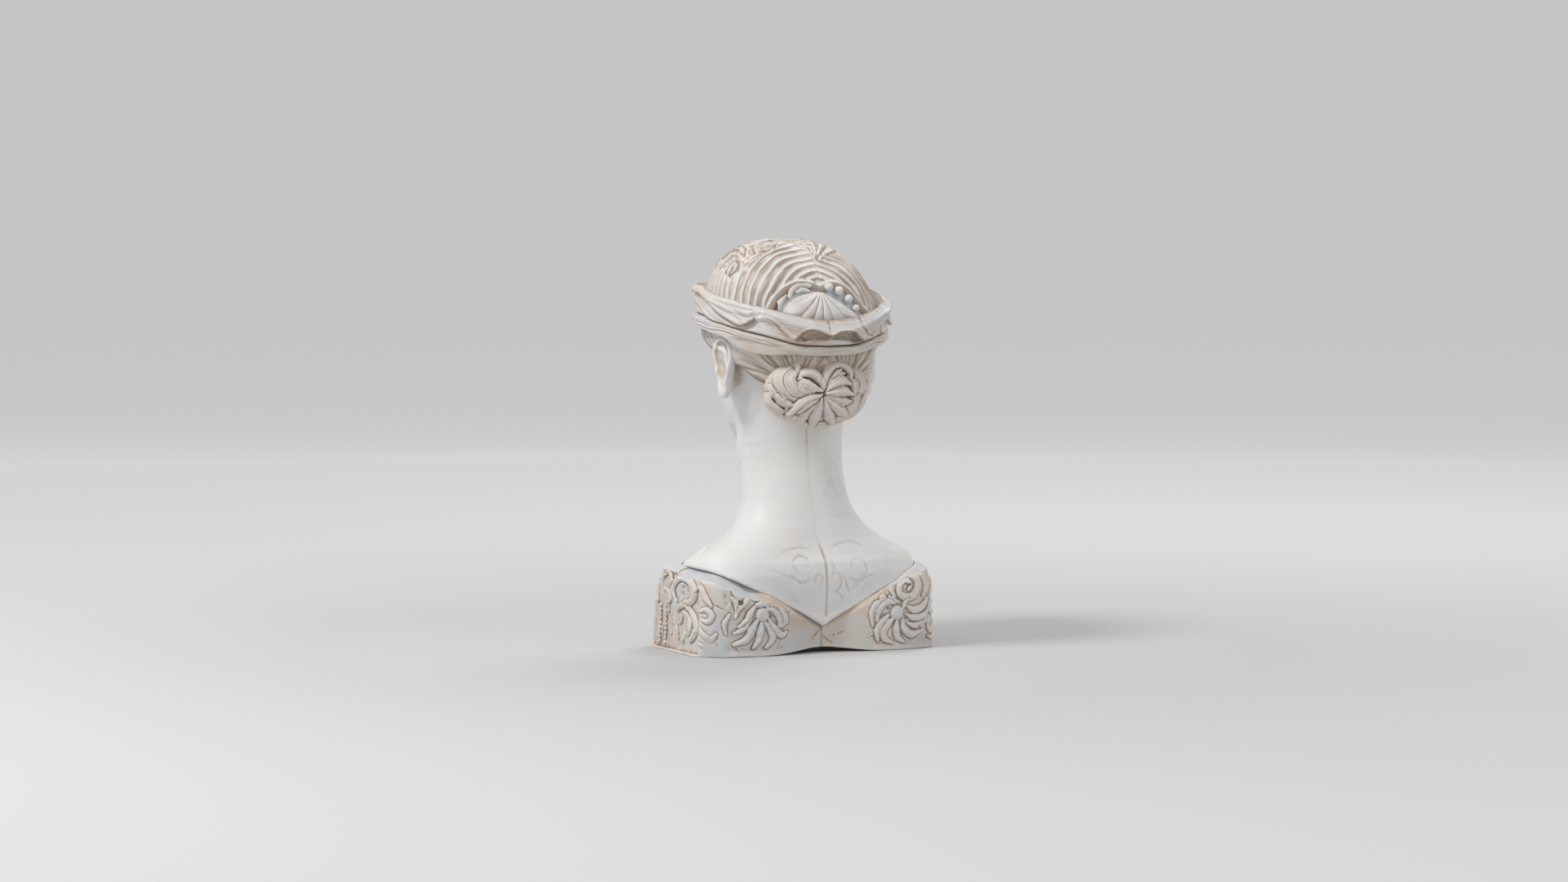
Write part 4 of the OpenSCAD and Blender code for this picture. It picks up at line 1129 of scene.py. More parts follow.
RIGHT_BACK = [
    ([(-81, 80, 72), (-88, 79, 78), (-99, 77, 77), (-106, 76, 68), (-102, 78, 57), (-93, 79, 53), (-84, 80, 57), (-84, 80, 66), (-91, 79, 71), (-97, 79, 66), (-94, 80, 61)],
     (2.0, 3.4, 4.0, 4.2, 4.2, 3.8, 3.4, 3.2, 2.8, 2.2, 1.6), 0.4),
    ([(-84, 78, 80), (-76, 80, 74), (-73, 81, 65), (-77, 81, 55)], (1.6, 3.2, 3.4, 1.8), 0.2),
    ([(-80, 79, 79), (-70, 81, 70), (-66, 81, 61)], (1.4, 2.8, 1.6), 0),
    ([(-107, 75, 78), (-114, 73, 72), (-117, 72, 62), (-112, 76, 54)], (1.6, 3.0, 3.2, 1.6), 0),
    ([(-71, 81, 55), (-76, 81, 51), (-82, 81, 49)], (1.4, 2.4, 1.6), 0),
    ([(-57, 80, 31), (-58, 81, 40), (-63, 81, 47), (-70, 81, 50), (-77, 81, 48)], (1.8, 3.4, 4.0, 3.6, 1.8), 0.3),
    ([(-52, 79, 26), (-51, 79, 38), (-56, 80, 47), (-62, 81, 51)], (1.4, 2.8, 3.0, 1.6), 0),
    ([(-87, 81, 42), (-90, 80, 49), (-94, 80, 53)], (1.6, 2.6, 1.6), 0.2),
    ([(-92, 80, 44), (-101, 79, 40), (-112, 76, 43), (-118, 73, 51)], (1.8, 3.8, 3.6, 1.6), 0.3),
    ([(-90, 80, 36), (-100, 79, 32), (-112, 77, 33), (-119, 73, 39)], (1.6, 3.4, 3.2, 1.4), 0.1),
    ([(-75, 81, 32), (-69, 81, 27), (-64, 81, 20), (-66, 81, 12), (-74, 81, 8)], (1.8, 3.6, 3.8, 3.2, 1.6), 0.4),
    ([(-70, 81, 36), (-62, 81, 29), (-57, 80, 20), (-58, 80, 11)], (1.6, 3.2, 3.2, 1.6), 0.1),
    ([(-80, 81, 30), (-79, 81, 22), (-81, 81, 13), (-88, 81, 8)], (1.8, 3.6, 3.4, 1.6), 0.3),
    ([(-86, 81, 30), (-89, 81, 21), (-98, 79, 15), (-112, 77, 19)], (1.8, 3.6, 3.6, 1.6), 0.3),
    ([(-92, 80, 27), (-102, 79, 24), (-113, 76, 28)], (1.4, 3.0, 1.4), 0)]


def flip_x(path):
    return [(-x, y, z) for x, y, z in path]


# plain scrolls of the unseen breast: leaves curling out from the middle, and a rosette over each side
BREAST = [
    ([(12, -70, 20), (24, -76, 28), (40, -79, 30), (54, -80, 22), (50, -80, 12), (40, -79, 14)], (2.0, 3.6, 4.2, 4.0, 3.0, 1.8), 0.3),
    ([(14, -72, 12), (26, -77, 16), (36, -79, 10)], (1.6, 3.0, 1.6), 0),
    ([(24, -76, 32), (34, -76, 42), (50, -77, 46), (60, -78, 38), (55, -78, 30)], (1.8, 3.4, 4.0, 3.4, 1.8), 0.3),
    ([(60, -78, 22), (72, -79, 18), (84, -79, 22), (88, -78, 32), (80, -78, 37), (74, -78, 31)], (2.0, 3.6, 4.0, 3.8, 3.0, 1.8), 0.3),
    ([(62, -78, 46), (74, -76, 54), (88, -75, 54), (98, -75, 46), (94, -76, 38)], (1.8, 3.4, 4.0, 3.4, 1.8), 0.2),
    ([(88, -78, 14), (100, -77, 12), (112, -74, 18), (114, -72, 30), (106, -74, 38)], (1.8, 3.4, 3.8, 3.4, 1.8), 0.2),
    ([(100, -74, 54), (110, -71, 60), (118, -66, 54), (116, -69, 44)], (1.6, 3.0, 3.2, 1.6), 0),
    ([(70, -75, 62), (82, -73, 68), (96, -71, 66)], (1.4, 2.8, 1.4), 0)]


def facet_plane(p):
    """Flat break across the corner at the back of the sitter's left side."""
    return p[:, 0] * 0.66 + p[:, 1] * 0.74 - p[:, 2] * 0.13 - 131.0


def bevel_size(p):
    left, back = p[:, 0] > 0, p[:, 1] > 0
    x = p[:, 0]
    grow = np.where(left, step(60, 86, x), 0.35 * step(-95, -112, x)) * step(-70, 30, p[:, 1])
    tall = (10.5 + 9.5 * grow) * np.where(back, 1, 0.85)
    wide = (8.5 + 17.0 * grow) * np.where(back, 1, 0.85)
    return tall, wide


def bodice():
    ribbons = []
    groups = [(LEFT_BACK, None), (LEFT_SIDE, None), (RIGHT_BACK, None), (LEFT_SIDE, flip_x), (BREAST, None), (BREAST, flip_x)]
    for group, flip in groups:
        for path, radii, lift in group:
            path = flip(path) if flip else path
            line = on_bodice(spline(path, 4), 0.3)
            ribbons.append((line, np.array(radii) * 1.15, 2.7 + lift))
    domes = [(on_bodice([spot], 0.2)[0], r * 1.05, 3.2) for spot, r in BOSSES]
    for sign in (1, -1):
        domes += [(on_bodice([(x * sign, y, z)], 0.0)[0], 2.9, 3.2) for x, y, z in BEADS]
        for strip in STRIPS:
            ribbons.append((on_bodice(spline([(x * sign, y, z) for x, y, z in strip], 4), 0.0), np.array([2.2, 2.2]), 2.4))
    holes = [egg(on_bodice([spot], 0.0)[0], (r, r, r)) for spot, r in (
        ((94, 80, 55), 2.8), ((-91, 81, 32), 2.8), ((-70, 81, 43), 2.4), ((-96, 80, 66), 1.5), ((62, 81, 40), 2.2))]
    cracks = [([(-63, 81, 60), (-72, 81, 68), (-83, 79, 77)], 1.1), ([(42, 77, 44), (32, 77, 47)], 0.8),
              ([(35, 77, 20), (30, 76, 27)], 0.8), ([(-11, 71, 17), (-24, 73, 21)], 0.8),
              ([(-40, 78, 13), (-52, 80, 15), (-60, 81, 18), (-66, 81, 24)], 0.9),
              ([(102, 79, 9), (92, 81, 10), (84, 81, 14)], 0.9), ([(-6, 70, 35), (-3, 70, 27), (4, 69, 21), (10, 70, 14)], 1.3),
              ([(2, 68, 20), (-11, 70, 9)], 1.0), ([(120, 71, 54), (111, 77, 48), (102, 79, 44), (91, 81, 44)], 1.2)]
    cuts = [(on_bodice(spline(path, 5), 0.0), r) for path, r in cracks]

    def solid(p):
        x, y, z = p.T
        left, back = x > 0, y > 0
        base = BODICE(p)
        wander = 5.0 * grain(p, 15.0) + 1.5 * grain(p + 7, 5.0)
        # sunk grounds behind the carving: the side panels and the fields of the back
        panel = (step(104, 120, np.abs(x)) * step(60, 52, y) * step(-60, -54, y)
                 * step(1, 3, z) * step(82 + 0.02 * y, 78.5 + 0.02 * y, z))
        field_l = step(42, 52, x + wander) * step(112, 106, x + 0.5 * wander) * step(50, 60, y) * step(80, 72, z + 0.4 * wander) * step(2, 9, z)
        field_r = step(-48, -57, x + wander) * step(-123, -117, x) * step(50, 60, y) * step(81, 74, z + 0.4 * wander) * step(2, 9, z)
        breast = step(10, 22, np.abs(x) + wander) * step(122, 116, np.abs(x)) * step(-46, -56, y) * step(2, 9, z) * step(75, 66, z + 0.5 * wander)
        f = base + 3.0 * panel + 1.5 * field_l + 1.5 * field_r + 1.3 * breast
        fields = panel + field_l + field_r + breast
        drift = np.stack([grain(p, 8), grain(p + 30, 8), grain(p + 60, 8)], 1)
        curls = np.clip(0.34 - np.abs(grain(p + 5.0 * drift, 11.0)), 0, 1)
        f = f + 0.30 * grain(p, 7.0) * (0.35 + fields) - 2.2 * curls * fields
        # the lobes of the back swell beside the spine
        f = f - 1.8 * np.exp(-(((np.abs(x) - 44) / 22) ** 2)) * np.exp(-(((z - 32) / 24) ** 2)) * step(30, 60, y)
        rise, groove = np.zeros(len(p)), np.zeros(len(p))
        for line, radii, height in ribbons:
            big = radii.max() + 2
            near = ((p > line.min(0) - big) & (p < line.max(0) + big)).all(1)
            if near.any():
                dist, t = line_distance(p[near], line)
                w = np.interp(t, np.linspace(0, 1, len(radii)), radii)
                q = np.sqrt(np.clip(1 - (dist / w) ** 2, 0, 1))
                h = height * q**1.3 * (0.55 + 0.45 * np.minimum(w / 4, 1)) + 0.55 * ridges(dist + 0.5 * w, w, 2.0) * q * step(2.2, 3.4, w)
                r = rise[near]
                rise[near] = np.where(q > 0, np.maximum(r * 0.45, h), r)
                groove[near] = np.maximum(groove[near] * (q <= 0), 0.8 * np.exp(-(((dist - w - 0.3) / 1.1) ** 2)) * (dist > w))
        for centre, r, height in domes:
            near = (np.abs(p - centre) < r + 2).all(1)
            if near.any():
                dist = np.linalg.norm(p[near] - centre, axis=1)
                rise[near] = np.maximum(rise[near], height * np.sqrt(np.clip(1 - (dist / r) ** 2, 0, 1)))
                groove[near] = np.maximum(groove[near], 0.7 * np.exp(-(((dist - r - 0.2) / 0.6) ** 2)))
        f = f - rise + groove * (rise < 0.4)
        for low, high, distance in holes:
            near = ((p > low - 2) & (p < high + 2)).all(1)
            if near.any():
                f[near] = cut(f[near], distance(p[near]), 0.8)
        for line, r in cuts:
            near = ((p > line.min(0) - 3) & (p < line.max(0) + 3)).all(1)
            if near.any():
                dist, t = line_distance(p[near] + 0.5 * grain(p[near], 4.0)[:, None], line)
                f[near] = f[near] + 1.5 * np.clip(1 - (dist / r) ** 2, 0, 1) * np.sin(np.pi * np.clip(t, 0.05, 0.95)) ** 0.5
        # edge bevel along the neckline, broad over the shoulder of the sitter's left
        rim = neckline(x) + 0.35 * grain(p + 40, 12.0)
        tall, wide = bevel_size(p)
        plane = (base / wide + (z - rim) / tall + 1) / np.sqrt(1 / wide**2 + 1 / tall**2)
        f = both(f, plane + 0.22 * grain(p, 9.0), 0.6)
        f = both(f, z - rim, 0.6)
        f = np.where(left & back, both(f, facet_plane(p) + 0.3 * grain(p + 9, 8.0), 0.8), f)
        f = np.maximum(f, -head_seat(p, 0.2))
        # a hair of clearance all along the skin, so the two stones never share a surface
        f = np.where(z > neckline(x) - 6, np.maximum(f, 0.9 - NECK(p)), f)
        # the underside sweeps up between the halves and wavers along the rest
        lift = 5.5 * np.exp(-((x / 40) ** 2)) * step(30, 64, y)
        f = both(f, lift - z, 0.8)
        return np.maximum(f, 0.4 - z + 0.3 * grain(p * [1, 1, 0], 10.0) - 0.3)

    return solid


def bodice_tints(v):
    """Tan on the bevel and the broken faces, blue on the shoulder plates and side strips, painted shade along the seam
    low on the back.
    """
    x, y, z = v.T
    tall, wide = bevel_size(v)
    on_bevel = step(1.6, 0.4, np.abs((BODICE(v) / wide + (z - neckline(x)) / tall + 1) / np.sqrt(1 / wide**2 + 1 / tall**2)))
    on_top = step(1.2, 0.3, np.abs(z - neckline(x)))
    inner = step(84, 66, np.abs(x))
    plate = np.where(x > 0, step(64, 84, x), step(-98, -110, x))
    facet = step(1.6, 0.5, np.abs(facet_plane(v))) * (x > 0) * (y > 0)
    low_mid = np.exp(-((x - 8) / 40) ** 2) * step(46, 30, z) * step(40, 60, y) * step(4, 16, z)
    chip = np.exp(-(((x - 30) / 9) ** 2) - (((z - 49) / 5) ** 2)) + np.exp(-(((x - 17) / 8) ** 2) - (((z - 34) / 5) ** 2))
    panel = step(118, 126, np.abs(x)) * step(58, 48, y) * step(-62, -50, y) * step(80, 74, z)
    tan = np.clip(np.maximum(on_bevel, on_top) * inner * 1.3 + 0.55 * facet * step(30, 44, z) + 0.9 * chip * (y > 40)
                  + 0.30 * low_mid + 0.45 * panel * step(-2, -14, y), 0, 1)
    strip = np.exp(-(((y - 10 - 0.2 * z) / 5.0) ** 2)) * step(100, 120, np.abs(x))
    blue = np.clip(np.maximum(on_bevel, on_top) * plate * 0.55 + 0.45 * strip + 0.3 * facet * step(34, 20, z), 0, 1)
    # painted shade darkening the valley along the seam low on the back
    seam = np.exp(-((x / 2.2) ** 2)) * (y > 40) * step(40, 30, z) * 0.5
    return {"tan": tan, "blue": blue, "dark": np.clip(seam, 0, 1) * 0.6}


def bodice_half(solid, sign):
    low = np.array([-BODICE_HALF_W - 4, -88, -2.0])
    high = np.array([BODICE_HALF_W + 4, 90, BODICE_TOP + 3])
    if sign > 0:
        low[0] = -2
    else:
        high[0] = 2
    return net(lambda p: np.maximum(solid(p), GAP / 4 - sign * p[:, 0]), low, high, 1.15)


# ---------------------------------------------------------------- head, ears and neck
FACE = Loft(FACE_ROWS)


def pair(clay, kind, shape_of, k):
    """The same stroke on either side of the face."""
    for sign in (1, -1):
        (clay.add if kind == "add" else clay.cut)(shape_of(sign), k)


def eye_shape(sign):
    """Lids with a calm almond opening over a round eyeball."""
    centre = np.array([sign * 30.0, -69.5, 297.0])

    def distance(p):
        q = p - centre
        out = np.linalg.norm(q * [1, 1, 1.02], axis=1)
        across = np.clip(q[:, 0] * sign / 15.0, -1.1, 1.1)
        bow = np.sqrt(np.clip(1 - across**2, 0, 1))
        upper, lower = 5.6 * bow**1.1 + 0.3 + 0.5 * across, -4.2 * bow**1.3 - 0.3 + 0.5 * across
        closed = step(0.9, -1.3, np.minimum(upper - q[:, 2], q[:, 2] - lower))
        fold = 0.9 * np.exp(-(((q[:, 2] - upper - 4.4) / 1.4) ** 2)) * (np.abs(across) < 1.1)
        return out - 13.4 - 2.8 * closed + fold

    return centre - 17, centre + 17, distance


EAR = [(-9, -4), (-11, 6), (-10, 17), (-5, 26), (4, 30), (13, 27.5), (19, 19), (20, 8), (16, -4), (11, -15), (5, -25), (-1, -30), (-7, -28),
       (-9, -20), (-8, -12)]
FOLD_LINE = spline([(-2, 19), (6, 17), (11, 9), (10, -3), (4, -14)], 6)


def ear(clay, sign):
    """A plain ear, standing a little out from the head: a shell with a rolled rim, an inner fold, a hollow and a lobe."""
    base = np.array([sign * 73.5, 6.0, 288.0])
    out = np.array([sign * 0.84, 0.54, 0.0])
    back = np.array([-sign * 0.535, 0.835, 0.12])
    up = np.cross(out, back) * sign
    up = up * np.sign(up[2])

    def distance(p):
        q = (p - base) / 1.05
        a, b, c = q @ back, q @ up, q @ out
        d = inside_distance(a, b, EAR)
        fold, _ = line_distance(np.stack([a, b], 1), FOLD_LINE)
        rolled = step(-26, -12, b) * step(-14, -6, a + 0.5 * (b - 10))
        relief = (3.4 * np.exp(-(((d + 2.9) / 2.3) ** 2)) * rolled - 1.2 * np.exp(-(((d + 7.2) / 1.8) ** 2)) * rolled
                  + 2.4 * np.exp(-((fold / 2.9) ** 2)) - 5.0 * np.exp(-((((a + 1) / 6.5) ** 2 + ((b + 2) / 9) ** 2) ** 1.4))
                  + 2.0 * np.exp(-((a + 1) / 7) ** 2 - ((b + 23) / 7) ** 2) + 3.4 * np.exp(-((a + 9) / 3.4) ** 2 - ((b + 4) / 5.5) ** 2)
                  - 1.0 * np.exp(-((a - 1) / 4) ** 2 - ((b - 22) / 3) ** 2))
        plane = 6.0 + 0.30 * np.maximum(a + 10, 0)
        f = both(c - plane - relief, plane - 10.0 + 0.12 * (a + 10) - c, 1.5)
        return both(f, d, 2.6)

    clay.add(egg(base + back * 1 - out * 1, (8, 10, 22), (out, back, up)), 3)
    clay.add((base - 36, base + 36, distance), 2.2)


def nose(p):
    """The wedge of the nose, narrow at the root and broad at the foot, with a rounded ridge."""
    x, y, z = p.T
    down = np.clip((312 - z) / 52, 0, 1)
    ridge = -85.0 - 15.5 * down**1.15
    slant = 1.55 - 0.55 * down
    f = (ridge + slant * (np.sqrt(x**2 + 12.0) - 3.46) - y) / np.sqrt(1 + slant**2)
    f = both(f, 254.5 - 0.22 * (y + 90) - z, 4.0)
    return both(both(f, z - 316, 6.0), np.abs(x) - 17, 3.0)


def head_clay():
    clay = Clay(lambda p: join(rounded(SKULL, p), FACE(p), 6.0))
    pair(clay, "add", lambda s: egg((s * 36, -58, 262), (20, 17, 19)), 12)
    pair(clay, "cut", lambda s: egg((s * 30, -98, 298), (18, 17.5, 10.5)), 6)
    pair(clay, "cut", lambda s: egg((s * 15, -99, 290), (7, 10, 12)), 4)
    pair(clay, "add", eye_shape, 1.6)
    pair(clay, "add", lambda s: rod([(s * 8, -89, 304), (s * 20, -89.5, 311), (s * 36, -85.5, 313), (s * 50, -75, 308)], (1.6, 2.2, 2.2, 1.2), 4), 13)
    clay.add((np.array([-24, -112, 244]), np.array([24, -60, 322]), nose), 5)
    clay.add(egg((0, -96.0, 261.5), (7.5, 7.0, 6.5)), 5.0)
    pair(clay, "add", lambda s: egg((s * 9.6, -89.5, 258.5), (5.2, 8.5, 6.2)), 4.5)
    pair(clay, "cut", lambda s: egg((s * 5.4, -93.5, 252.0), (2.8, 4.6, 2.8)), 1.6)
    clay.add(egg((0, -79, 234), (22, 14, 17)), 7)
    clay.cut(rod([(0, -98.6, 251), (0, -97.8, 244), (0, -97.6, 239)], (2.4, 2.4, 1.8), 4), 5.0)
    # lips: upper in three swellings, lower in two, parted by a quiet line
    clay.add(rod([(-21.5, -81.5, 229.5), (-13, -88.5, 232.4), (-5, -92.5, 234.0), (0, -92.6, 233.0), (5, -92.5, 234.0), (13, -88.5, 232.4), (21.5, -81.5, 229.5)],
                 (1.2, 2.9, 3.8, 3.7, 3.8, 2.9, 1.2), 5), 3.0)
    clay.add(rod([(-19, -82.5, 227.2), (-9, -89.0, 223.6), (0, -90.6, 223.0), (9, -89.0, 223.6), (19, -82.5, 227.2)], (1.2, 4.0, 4.6, 4.0, 1.2), 5), 3.0)
    clay.cut(rod([(-22.5, -83.5, 229.2), (-12, -92.5, 228.6), (-4, -97.0, 228.2), (0, -97.0, 228.8), (4, -97.0, 228.2), (12, -92.5, 228.6), (22.5, -83.5, 229.2)],
                 (1.0, 1.5, 1.7, 1.7, 1.7, 1.5, 1.0), 5), 1.6)
    clay.cut(egg((0, -95.5, 214.5), (12, 7.5, 5.0)), 4)
    clay.add(egg((0, -73.5, 204), (15, 17, 13)), 7)
    for sign in (1, -1):
        ear(clay, sign)
    return clay


# lines cut in the skin of the neck: heads of scrolls and the furrow of the spine
SPINE = [(6, 48, 236), (3, 52, 200), (2, 55, 165), (1, 57, 140), (2, 60, 123), (-1, 65, 108), (-3, 71, 96), (-3, 76, 81), (-3, 77, 60), (-2, 76, 38)]
ENGRAVED = [
    [(14, 74, 82), (22, 76, 79), (31, 74, 84), (33, 73, 93), (26, 70, 99), (18, 71, 97), (15, 73, 91), (19, 74, 87), (24, 74, 89)],
    [(34, 77, 78), (28, 77, 73), (20, 77, 73), (15, 77, 78)], [(9, 77, 69), (10, 77, 76), (6, 77, 80), (2, 77, 76), (4, 77, 68)],
    [(-5, 71, 97), (-11, 75, 90), (-12, 77, 83), (-8, 77, 77)], [(-8, 77, 79), (-16, 77, 80), (-19, 77, 72), (-16, 77, 64), (-9, 77, 60)],
    [(-24, 76, 86), (-28, 77, 76), (-38, 77, 72), (-47, 76, 78), (-48, 75, 88), (-41, 72, 94), (-33, 73, 92), (-32, 74, 85), (-38, 75, 82)],
    [(-21, 77, 80), (-25, 77, 68), (-31, 77, 56)], [(-14, 77, 62), (-20, 77, 56), (-22, 77, 49)],
    [(8, 68, 103), (20, 66, 107), (36, 66, 105), (50, 68, 98)], [(-8, 68, 104), (-22, 64, 109), (-40, 62, 110), (-56, 66, 100)],
    [(24, 78, 66), (30, 77, 74), (44, 75, 80), (60, 72, 86)], [(-28, 77, 62), (-42, 76, 72), (-60, 74, 80)]]


def on_neck(points, lift=0.0):
    p = np.array(points, float)
    for _ in range(8):
        f, g = NECK(p), slope(NECK, p, 0.5)
        p = p - f[:, None] * g / np.maximum((g**2).sum(1), 0.3)[:, None]
    return p + lift * g


def head_and_neck():
    face = head_clay()
    furrows = [(on_neck(spline(SPINE, 6)), 1.9, 1.3)]
    furrows += [(on_neck(spline(path, 6)), 1.9, 0.45) for path in ENGRAVED]
    muscle = [rod(on_neck([(sign * 52, 12, 250), (sign * 44, -24, 200), (sign * 26, -40, 150), (sign * 9, -46, 118)], -6.5), (7, 8, 7.5, 5), 5) for sign in (1, -1)]
    bones = [rod(on_neck([(sign * 10, -40, 112), (sign * 42, -36, 112), (sign * 80, -20, 106), (sign * 104, 4, 101)], -3.2), (4.6, 4.8, 4.4, 3.0), 5) for sign in (1, -1)]

    def solid(p):
        neck = NECK(p)
        furrow = 1.6 * np.exp(-((p[:, 0] / 15.0) ** 2)) * step(30, 50, p[:, 1]) * step(236, 200, p[:, 2]) * step(90, 120, p[:, 2])
        notch = egg((0, -58, 112), (10, 12, 9))
        neck = neck + furrow
        for low, high, distance in muscle + bones:
            near = ((p > low - 10) & (p < high + 10)).all(1)
            if near.any():
                neck[near] = join(neck[near], distance(p[near]), 9.0)
        neck = cut(neck, notch[2](p), 8.0)
        neck = np.maximum(neck, neckline(p[:, 0]) - 7 - p[:, 2])
        for line, w, deep in furrows:
            near = ((p > line.min(0) - 3) & (p < line.max(0) + 3)).all(1)
            if near.any():
                dist, t = line_distance(p[near], line)
                neck[near] += deep * np.clip(1 - (dist / w) ** 2, 0, 1) * np.sin(np.pi * np.clip(t, 0.06, 0.94)) ** 0.6
        neck = np.minimum(neck, tenon(p))
        f = neck
        above = p[:, 2] > 165
        if above.any():
            q = to_head(p[above])
            f[above] = join(neck[above], face(q), 7.0)
        pocket = np.maximum(np.hypot(p[:, 0], p[:, 1]) - (BUSH_R + 0.3), p[:, 2] - 51.5)
        return np.maximum(f, -pocket)

    low = np.array([-122, -112, -1.0])
    high = np.array([122, 100, CROWN_Z - 8])
    fine = (((-50, 50, 1.35), (-90, -64, 1.7), (64, 90, 1.7)), ((-110, -58, 1.5), (36, 84, 2.2)), ((34, 112, 1.7), (198, 318, 1.25)))
    return net(solid, low, high, 2.9, fine)


def skin_tints(v):
    """Painted shade along the furrow of the spine and the engraved lines beside it; tan under the jaw and at the nape,
    warm tone with painted shade; cloudy blue patches.
    """
    # painted shade drawn dark along the spine furrow and the engraved lines
    dark = np.zeros(len(v))
    near = (v[:, 1] > 20) & (v[:, 2] < 245)
    for path, w, depth in [(SPINE, 1.2, 0.62)] + [(path, 1.6, 0.08) for path in ENGRAVED]:
        dist, t = line_distance(v[near], on_neck(spline(path, 6)))
        dark[near] = np.maximum(dark[near], depth * np.exp(-((dist / w) ** 2)) * np.sin(np.pi * np.clip(t, 0.03, 0.97)) ** 0.4)
    q = to_head(v)
    # tan under the sides of the jaw: warm tone together with painted shade
    jaw = np.exp(-(((q[:, 2] - 205) / 26) ** 2)) * step(40, 58, np.abs(q[:, 0])) * step(-10, -40, q[:, 1])
    # tan at the nape under the hair and knot: painted shade
    nape = step(232, 244, q[:, 2]) * step(20, 50, q[:, 1]) * 0.35
    plain = np.maximum(step(106, 116, v[:, 2]) * step(202, 192, v[:, 2]), step(312, 318, q[:, 2]) * (q[:, 1] < -40))
    return {"plain": 0.95 * plain, "dark": dark, "tan": np.clip(0.25 * jaw + nape, 0, 1), "blue": 0.25 * step(0.1, 0.6, grain(v, 60))}


# ---------------------------------------------------------------- putting the bust together
def build(name, made, nodes, slot, material, tints=None):
    return piece(name, *made, nodes, slot, material, tints)


def hair_tints(v):
    q = to_head(v)
    az = np.degrees(np.arctan2(q[:, 0], q[:, 1] - SKULL_C[1]))
    top = step(40, 60, az) * step(150, 120, az) * step(380, 400, q[:, 2])
    low = step(312, 300, q[:, 2])
    return {"tan": np.clip(0.40 * top + 0.30 * low + 0.22 * step(0.0, 0.6, grain(v, 28)), 0, 1),
            "blue": 0.5 * step(0.05, 0.5, grain(v + 200, 40)) * (1 - low)}


def band_tints(v):
    q = to_head(v)
    az = np.degrees(np.arctan2(q[:, 0], q[:, 1] - SKULL_C[1]))
    low, top = along(LIP_LOW, az), along(LIP_TOP, az)
    rim = step(low - 1, low + 1, q[:, 2])
    # tan in the almond pits: painted shade in the recess together with patina
    pit = step(18, 14, np.abs(az)) * step(328, 325, q[:, 2]) * step(320, 322, q[:, 2])
    return {"tan": np.clip(0.42 * step(-0.2, 0.5, grain(v, 24)) * (1 - rim) + 0.6 * pit, 0, 1), "blue": 0.25 * rim}


build("head_and_neck_stone", head_and_neck(), ["head_and_neck"], "skin_marble", SKIN, skin_tints)
build("hair_cap_stone", hair_cap(), ["hair_cap"], "hair_marble", HAIR_STONE, hair_tints)
build("upper_fillet_stone", upper_fillet(), ["upper_fillet"], "hair_marble", HAIR_STONE, band_tints)
build("lower_fillet_stone", lower_fillet(), ["lower_fillet"], "hair_marble", HAIR_STONE, hair_tints)
build("chignon_stone", chignon(), ["chignon"], "hair_marble", HAIR_STONE, hair_tints)
build("shell_comb_stone", shell_comb(), ["shell_comb"], "hair_marble", HAIR_STONE)
torso = bodice()
build("bodice_left_stone", bodice_half(torso, 1), ["bodice_left"], "bodice_marble", BODICE_STONE, bodice_tints)
build("bodice_right_stone", bodice_half(torso, -1), ["bodice_right"], "bodice_marble", BODICE_STONE, bodice_tints)

BRONZE_NODES = ("bodice_dowels", "cap_dowels", "chignon_dowel", "comb_dowel",
                "upper_fillet_pins", "lower_fillet_pins", "socle_bush")
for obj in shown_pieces():
    node = obj.name.split(".")[0]
    if node in BRONZE_NODES or node.rstrip("0123456789_") in BRONZE_NODES:
        obj.data.materials.clear()
        obj.data.materials.append(BRONZE)
    elif node in ("back_cramp", "front_cramp"):
        obj.data.materials.clear()
        obj.data.materials.append(IRON)


# ---------------------------------------------------------------- floor, light and camera
def floor_material():
    """Pale matt floor that grows paler away from the bust, so it meets the wall of light."""
    mat = bpy.data.materials.new("Pale floor")
    mat.use_nodes = True
    nodes, links = mat.node_tree.nodes, mat.node_tree.links
    place = nodes.new("ShaderNodeTexCoord")
    size = nodes.new("ShaderNodeVectorMath")
    size.operation = "LENGTH"
    spread = nodes.new("ShaderNodeMapRange")
    for label, number in (("From Min", 0.5), ("From Max", 3.4), ("To Min", 0.56), ("To Max", 1.0)):
        spread.inputs[label].default_value = number
    links.new(place.outputs["Object"], size.inputs[0])
    links.new(size.outputs["Value"], spread.inputs["Value"])
    links.new(spread.outputs["Result"], nodes["Principled BSDF"].inputs["Base Color"])
    nodes["Principled BSDF"].inputs["Roughness"].default_value = 0.95
    nodes["Principled BSDF"].inputs["Specular IOR Level"].default_value = 0.0
    return mat


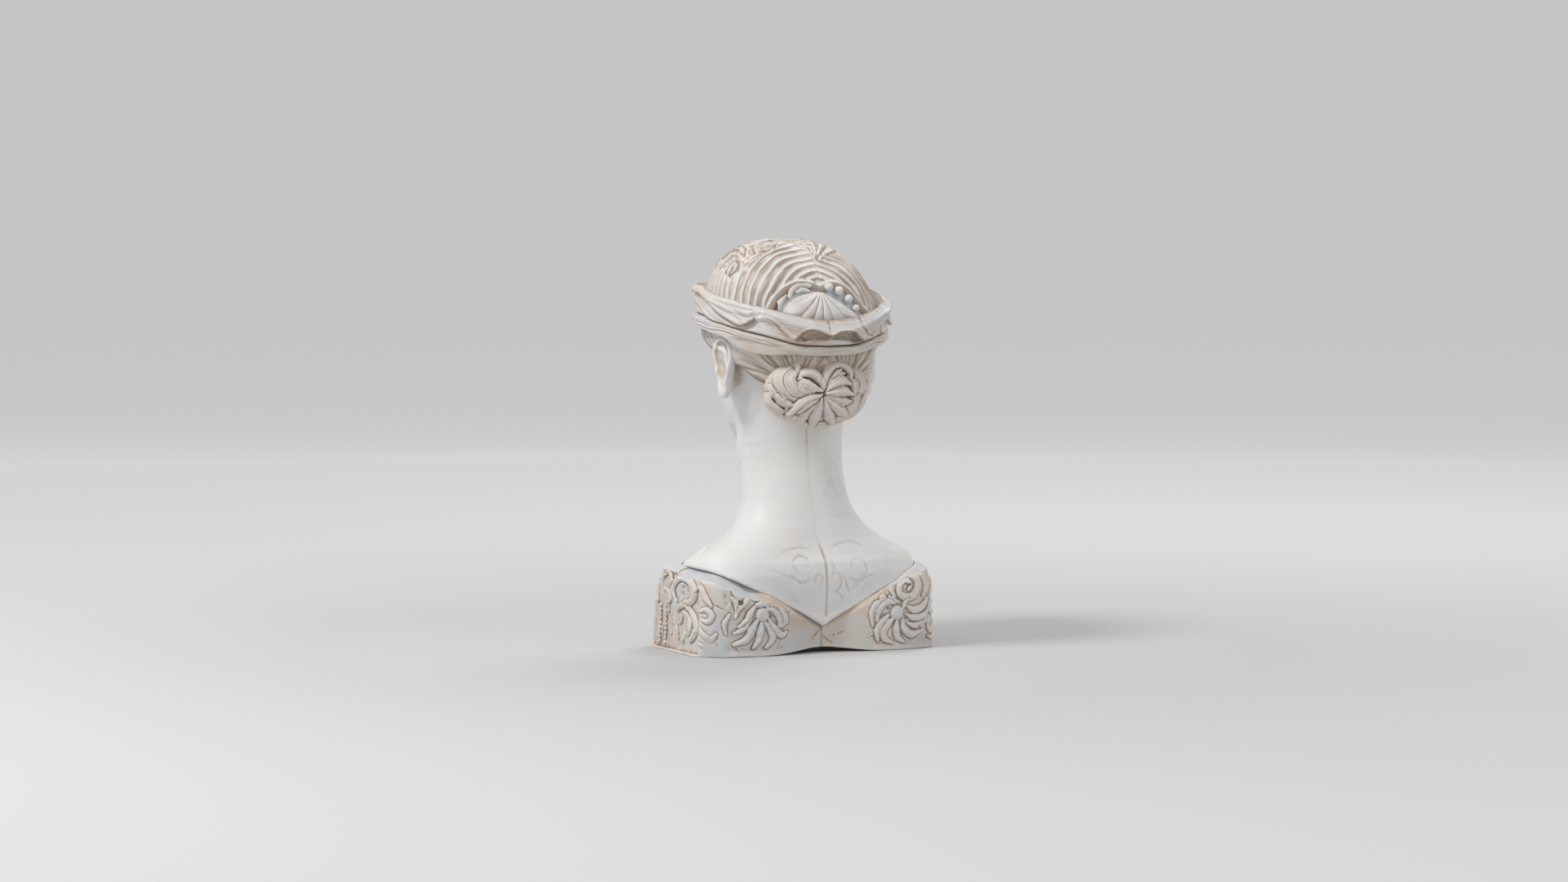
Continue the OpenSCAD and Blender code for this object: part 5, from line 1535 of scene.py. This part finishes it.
floor_mesh = bpy.data.meshes.new("floor")
ring = [(40 * math.cos(a), 40 * math.sin(a), 0) for a in np.linspace(0, 2 * math.pi, 96, endpoint=False)]
floor_mesh.from_pydata(ring, [], [list(range(96))])
floor = bpy.data.objects.new("floor", floor_mesh)
bpy.context.scene.collection.objects.link(floor)
floor_mesh.materials.append(floor_material())

world = bpy.data.worlds.new("Studio")
bpy.context.scene.world = world
world.use_nodes = True
world.node_tree.nodes["Background"].inputs["Color"].default_value = (0.56, 0.56, 0.56, 1)
world.node_tree.nodes["Background"].inputs["Strength"].default_value = 1.0
bpy.context.scene.view_settings.view_transform = "Standard"

AIM = np.array([0, 0, 0.205])
AZ, EL, FAR = math.radians(155), math.radians(3), 3.80
BACK = np.array([math.sin(AZ) * math.cos(EL), -math.cos(AZ) * math.cos(EL), math.sin(EL)])
RIGHT = np.array([math.cos(AZ), math.sin(AZ), 0])
UP = np.cross(BACK, RIGHT)


def lamp(name, place, size, power):
    data = bpy.data.lights.new(name, "AREA")
    data.shape = "DISK"
    data.size = size
    data.energy = power
    obj = bpy.data.objects.new(name, data)
    obj.location = place
    obj.rotation_euler = (Vector(AIM) - Vector(place)).to_track_quat("-Z", "Y").to_euler()
    bpy.context.scene.collection.objects.link(obj)


lamp("Key", AIM + BACK * 1.0 - RIGHT * 1.4 + UP * 1.9, 0.7, 34)
lamp("Fill", AIM + BACK * 1.4 + RIGHT * 1.9 + UP * 1.5, 1.0, 5)
lamp("Front", AIM - BACK * 1.3 + RIGHT * 0.7 + UP * 2.2, 1.2, 20)

cam_data = bpy.data.cameras.new("Camera")
cam_data.lens = 85
cam_data.sensor_width = 36
cam_data.clip_start, cam_data.clip_end = 0.05, 60
camera = bpy.data.objects.new("Camera", cam_data)
aim = AIM - RIGHT * 0.0084 + UP * 0.0059
camera.location = aim + BACK * FAR
camera.rotation_euler = (-Vector(BACK)).to_track_quat("-Z", "Y").to_euler()
bpy.context.scene.collection.objects.link(camera)
bpy.context.scene.camera = camera
